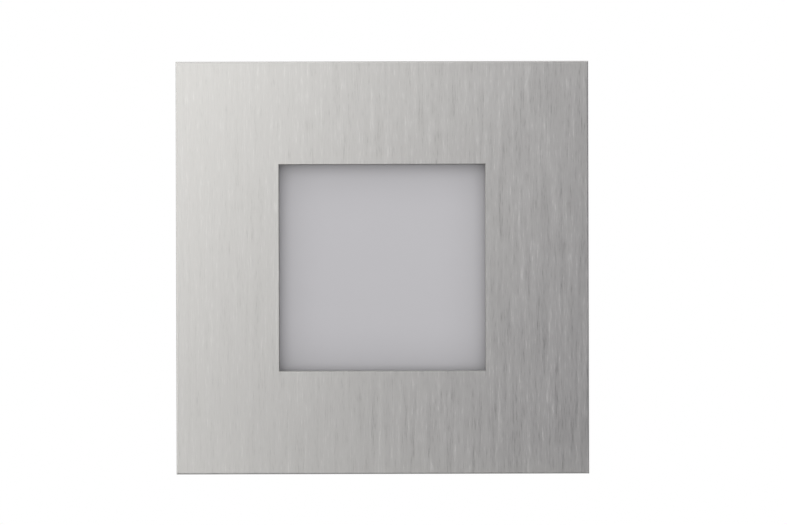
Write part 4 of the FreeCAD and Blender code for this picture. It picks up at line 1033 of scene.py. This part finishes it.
class StepLightFixings(bpy.types.Operator):
    """Gives the studs, washers, nuts and screws a bright finish"""

    bl_idname = "step_light.fixings"
    bl_label = "Screws and studs"

    def execute(self, context):
        s = context.scene.step_light_fixings
        bright = brushed_steel("Bright Stainless", s.steel, 0.24, 0.12 * MM, 1.2 * MM, 0.002 * MM, 0.06, 0.05, "Y")
        tinned = brushed_steel("Tinned Brass", s.tinned, 0.30, 0.2 * MM, 0.8 * MM, 0.002 * MM, 0.08, 0.1, "X")
        wide, long, tall = (span("fascia_studs", axis) for axis in (X, Y, Z))
        turns = math.floor((long - s.plain_length - s.plain_tip) / s.thread_pitch)
        values = {"Turns": turns, "Pitch": s.thread_pitch, "Plain_Length": s.plain_length, "Length": long}
        values |= {"Core": s.stud / 2 - s.thread_depth, "Ridge": s.thread_depth * RIDGE_SHARE}
        values |= {"Across": wide - s.stud, "Up": tall - s.stud, "Middle": middle_of("fascia_studs")[Y]}
        studs = grown("fascia_stud_threads", thread_tree(bright), **values)
        hand_over(studs, "fascia_studs")
        dress(bright, *BRIGHT_NODES)
        dress(tinned, "earth_screw", "earth_tag", "terminal_screws")
        return {"FINISHED"}


class StepLightClips(bpy.types.Operator):
    """Makes the clip arms with eased edges, their rings and the coiled springs"""

    bl_idname = "step_light.clips"
    bl_label = "Sprung clips"

    def execute(self, context):
        s = context.scene.step_light_clips
        look = (0.0015 * MM, 0.06, 0.12, "Z")
        strip = brushed_steel("Spring Strip", s.steel, s.roughness, 0.15 * MM, 6.0 * MM, *look)
        wire = brushed_steel("Spring Wire", s.steel, s.roughness, 0.1 * MM, 1.0 * MM, *look)
        dress(wire, "right_pin_ring", "left_pin_ring")
        tree = coil_tree(wire)
        values = {"Wire": s.wire, "Radius": s.coil_radius, "Pitch": s.coil_pitch, "Start": s.coil_start}
        values |= {"Turn": s.coil_turn, "First_Leg": s.body_leg, "Last_Leg": s.arm_leg, "Step": s.wire_step}
        for side, way, half_turn in (("right", 1.0, 0.0), ("left", -1.0, math.pi)):
            arm, body = f"{side}_clip_arm", f"{side}_clip"
            rounded(arm, f"{arm}_pressing", s.arm_rounding, strip, body)
            centre = (PIVOT[X], PIVOT[Y], 0.0)
            coil = grown(f"{side}_spring_coil", tree, Half_Turn=half_turn, Centre=centre, **values)
            hand_over(coil, f"{side}_clip_spring", None)
            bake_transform(coil)
        return {"FINISHED"}


class StepLightGland(bpy.types.Operator):
    """Makes the nylon cable gland and its nuts"""

    bl_idname = "step_light.gland"
    bl_label = "Cable gland"

    def execute(self, context):
        s = context.scene.step_light_gland
        nylon = textured("Black Nylon", s.nylon, 0.42, 0.2 * MM, 0.006 * MM, tone=0.15, dust=0.08)
        for node in ("gland_body", "gland_nut", "gland_lock_nut"):
            rounded(node, f"{node}_moulding", s.rounding, nylon)
        tip = limit("gland_nut", HIGH, Y)
        fall = s.taper_fall / (tip - s.taper_foot)
        middle = (s.taper_foot + tip) / 2
        radius = limit("gland_nut", HIGH, Z) - fall * (middle - s.taper_foot) - s.rib_sunk
        values = {"Ribs": s.ribs, "Width": s.rib_width, "Length": s.rib_length, "Proud": s.rib_proud}
        values |= {"Radius": radius, "Slope": -math.atan(fall), "Along": middle}
        hand_over(grown("gland_grip_ribs", rib_tree(nylon), **values))
        dress(nylon, "transformer_base")
        return {"FINISHED"}


class StepLightLightSource(bpy.types.Operator):
    """Finishes the LED board, LEDs, thermal pad and reflector"""

    bl_idname = "step_light.light_source"
    bl_label = "Light source"

    def execute(self, context):
        s = context.scene.step_light_driver
        pours = (0.5 * s.led_pitch, 2.0 * s.led_pitch, 0.5 * MM)
        dress(board_finish("White Board", s.white_mask, BOARD_METAL, True, 0.42, pours, pours, 0.9), "led_board")
        dress(led_finish(s), "led_chips")
        dress(textured("Thermal Silicone", THERMAL_BLUE, 0.7, 0.2 * MM, 0.01 * MM), "thermal_pad")
        dress(textured("White Plastic", WHITE_PLASTIC, 0.4, 0.3 * MM, 0.004 * MM, tone=0.03), "reflector")
        return {"FINISHED"}


class StepLightDriver(bpy.types.Operator):
    """Finishes the driver board, its components and the leads"""

    bl_idname = "step_light.driver"
    bl_label = "Driver"

    def execute(self, context):
        s = context.scene.step_light_driver
        board = (s.solder_mask, s.board_edge, False, 0.35, COPPER_AREAS, COPPER_TRACKS, 0.72)
        choke, winding = "choke", "transformer_winding"
        dress(board_finish("Green Board", *board), "driver_board")
        dress(can_finish("Input Can", "input_capacitor", NAVY_SLEEVE), "input_capacitor")
        dress(can_finish("Output Can", "output_capacitor", BLACK_SLEEVE), "output_capacitor")
        dress(banded_resistor(), "fuse_resistor")
        dress(wound_finish("Choke Winding", choke, FERRITE, SLEEVE, 0.6 * MM, 0.06 * MM, 1.2 * MM), choke)
        dress(wound_finish("Taped Winding", winding, TAPE, TAPE, 1.2 * MM, 0.05 * MM, 0.2 * MM), winding)
        for name, base, roughness, nodes in MOULDED:
            dress(textured(name, base, roughness, 0.25 * MM, 0.004 * MM, tone=0.15), *nodes)
        self.leads(s)
        self.solder(s)
        return {"FINISHED"}

    def solder(self, s):
        """Solder on the pins at the front of the driver board, and on the leads' stripped ends."""
        tree = solder_tree(textured("Solder", SOLDER, 0.26, 0.4 * MM, 0.02 * MM, metallic=1.0))
        front, back = limit("driver_board", LOW, Y), limit("driver_board", HIGH, Y)
        places = []
        for node, offsets in PINS:
            middle = middle_of(node)
            places += [(middle[X] + x * MM, front, middle[Z] + z * MM) for x, z in offsets]
        near, foot = limit("led_board", LOW, Y), limit("led_lead_positive", LOW, Z)
        sides = [limit(node, LOW, X) + s.led_lead / 2 for node in ("led_lead_positive", "led_lead_negative")]
        ends = [(x, back, foot + 0.5 * MM) for x in sides] + [(x, near, foot + 1.5 * MM) for x in sides]
        ends.append((limit("earth_lead", LOW, X) + s.earth_lead / 2, back, limit("earth_lead", HIGH, Z) - 0.4 * MM))
        for name, points, wide, high, pin, reach in (
            ("driver_solder_joints", places, 1.0, 0.7, 0.3, 0.35),
            ("lead_solder_joints", ends, 1.05, 0.9, 0.2, -0.3),
        ):
            values = {"Radius": wide * s.solder, "Height": high * s.solder, "Pin": pin * MM, "Pin_Reach": reach * MM}
            hand_over(grown(name, tree, points, **values))

    def leads(self, s):
        """The pair to the LED board, through the grommet, and the earth lead to its tag."""
        for node, name, insulation, slot in (
            ("led_lead_positive", "Red Insulation", (0.55, 0.03, 0.02), "red_insulation"),
            ("led_lead_negative", "Black Insulation", (0.03, 0.03, 0.03), "black_insulation"),
        ):
            low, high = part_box(node)
            r = s.led_lead / 2
            x, back, front, top = (low[X] + high[X]) / 2, high[Y] - r, low[Y] + r, high[Z] - r
            rise = ((back, low[Z]), (back, top - s.ease), (back - s.ease, top))
            fall = ((front + s.ease, top), (front, top - s.ease), (front, low[Z] + 1.1 * MM))
            route = [(x, *at) for at in rise + fall]
            look = lead_finish(name, insulation, insulation, back, low[Z] + 1.6 * MM, low[Z] + 1.7 * MM)
            smooth_lead(node, route, s.led_lead, look)
        low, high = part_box("earth_lead")
        x, y, foot = (low[axis] + s.earth_lead / 2 for axis in (X, Y, Z))
        route = ((x, y, high[Z]), (x, y, foot + s.ease), (x + s.ease, y, foot), (high[X], y, foot))
        bare = (high[Z] - 1.1 * MM, high[Z] - 1.2 * MM)
        look = lead_finish("Earth Insulation", EARTH_GREEN, EARTH_YELLOW, y + 0.4 * MM, *bare)
        smooth_lead("earth_lead", route, s.earth_lead, look)


OPERATORS = (
    StepLightStage,
    StepLightFascia,
    StepLightWindow,
    StepLightSeals,
    StepLightCasting,
    StepLightFixings,
    StepLightClips,
    StepLightGland,
    StepLightLightSource,
    StepLightDriver,
)


class StepLightPanel(bpy.types.Panel):
    """Lists the pieces and their settings"""

    bl_idname = "VIEW3D_PT_step_light"
    bl_label = "Step Light"
    bl_space_type = "VIEW_3D"
    bl_region_type = "UI"
    bl_category = "Step Light"

    def draw(self, context):
        for operator in OPERATORS:
            self.layout.operator(operator.bl_idname)
        for name, group in SETTINGS.items():
            box = self.layout.box()
            box.label(text=group.__doc__)
            for prop in group.__annotations__:
                box.prop(getattr(context.scene, name), prop)


def register():
    for name, group in SETTINGS.items():
        bpy.utils.register_class(group)
        setattr(bpy.types.Scene, name, PointerProperty(type=group))
    for made in (*OPERATORS, StepLightPanel):
        bpy.utils.register_class(made)


def unregister():
    for made in (StepLightPanel, *reversed(OPERATORS)):
        bpy.utils.unregister_class(made)
    for name, group in SETTINGS.items():
        delattr(bpy.types.Scene, name)
        bpy.utils.unregister_class(group)


def main():
    """Makes every piece in order."""
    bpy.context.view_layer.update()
    register()
    for operator in OPERATORS:
        group, name = operator.bl_idname.split(".")
        getattr(getattr(bpy.ops, group), name)()


if __name__ == "__main__":
    main()
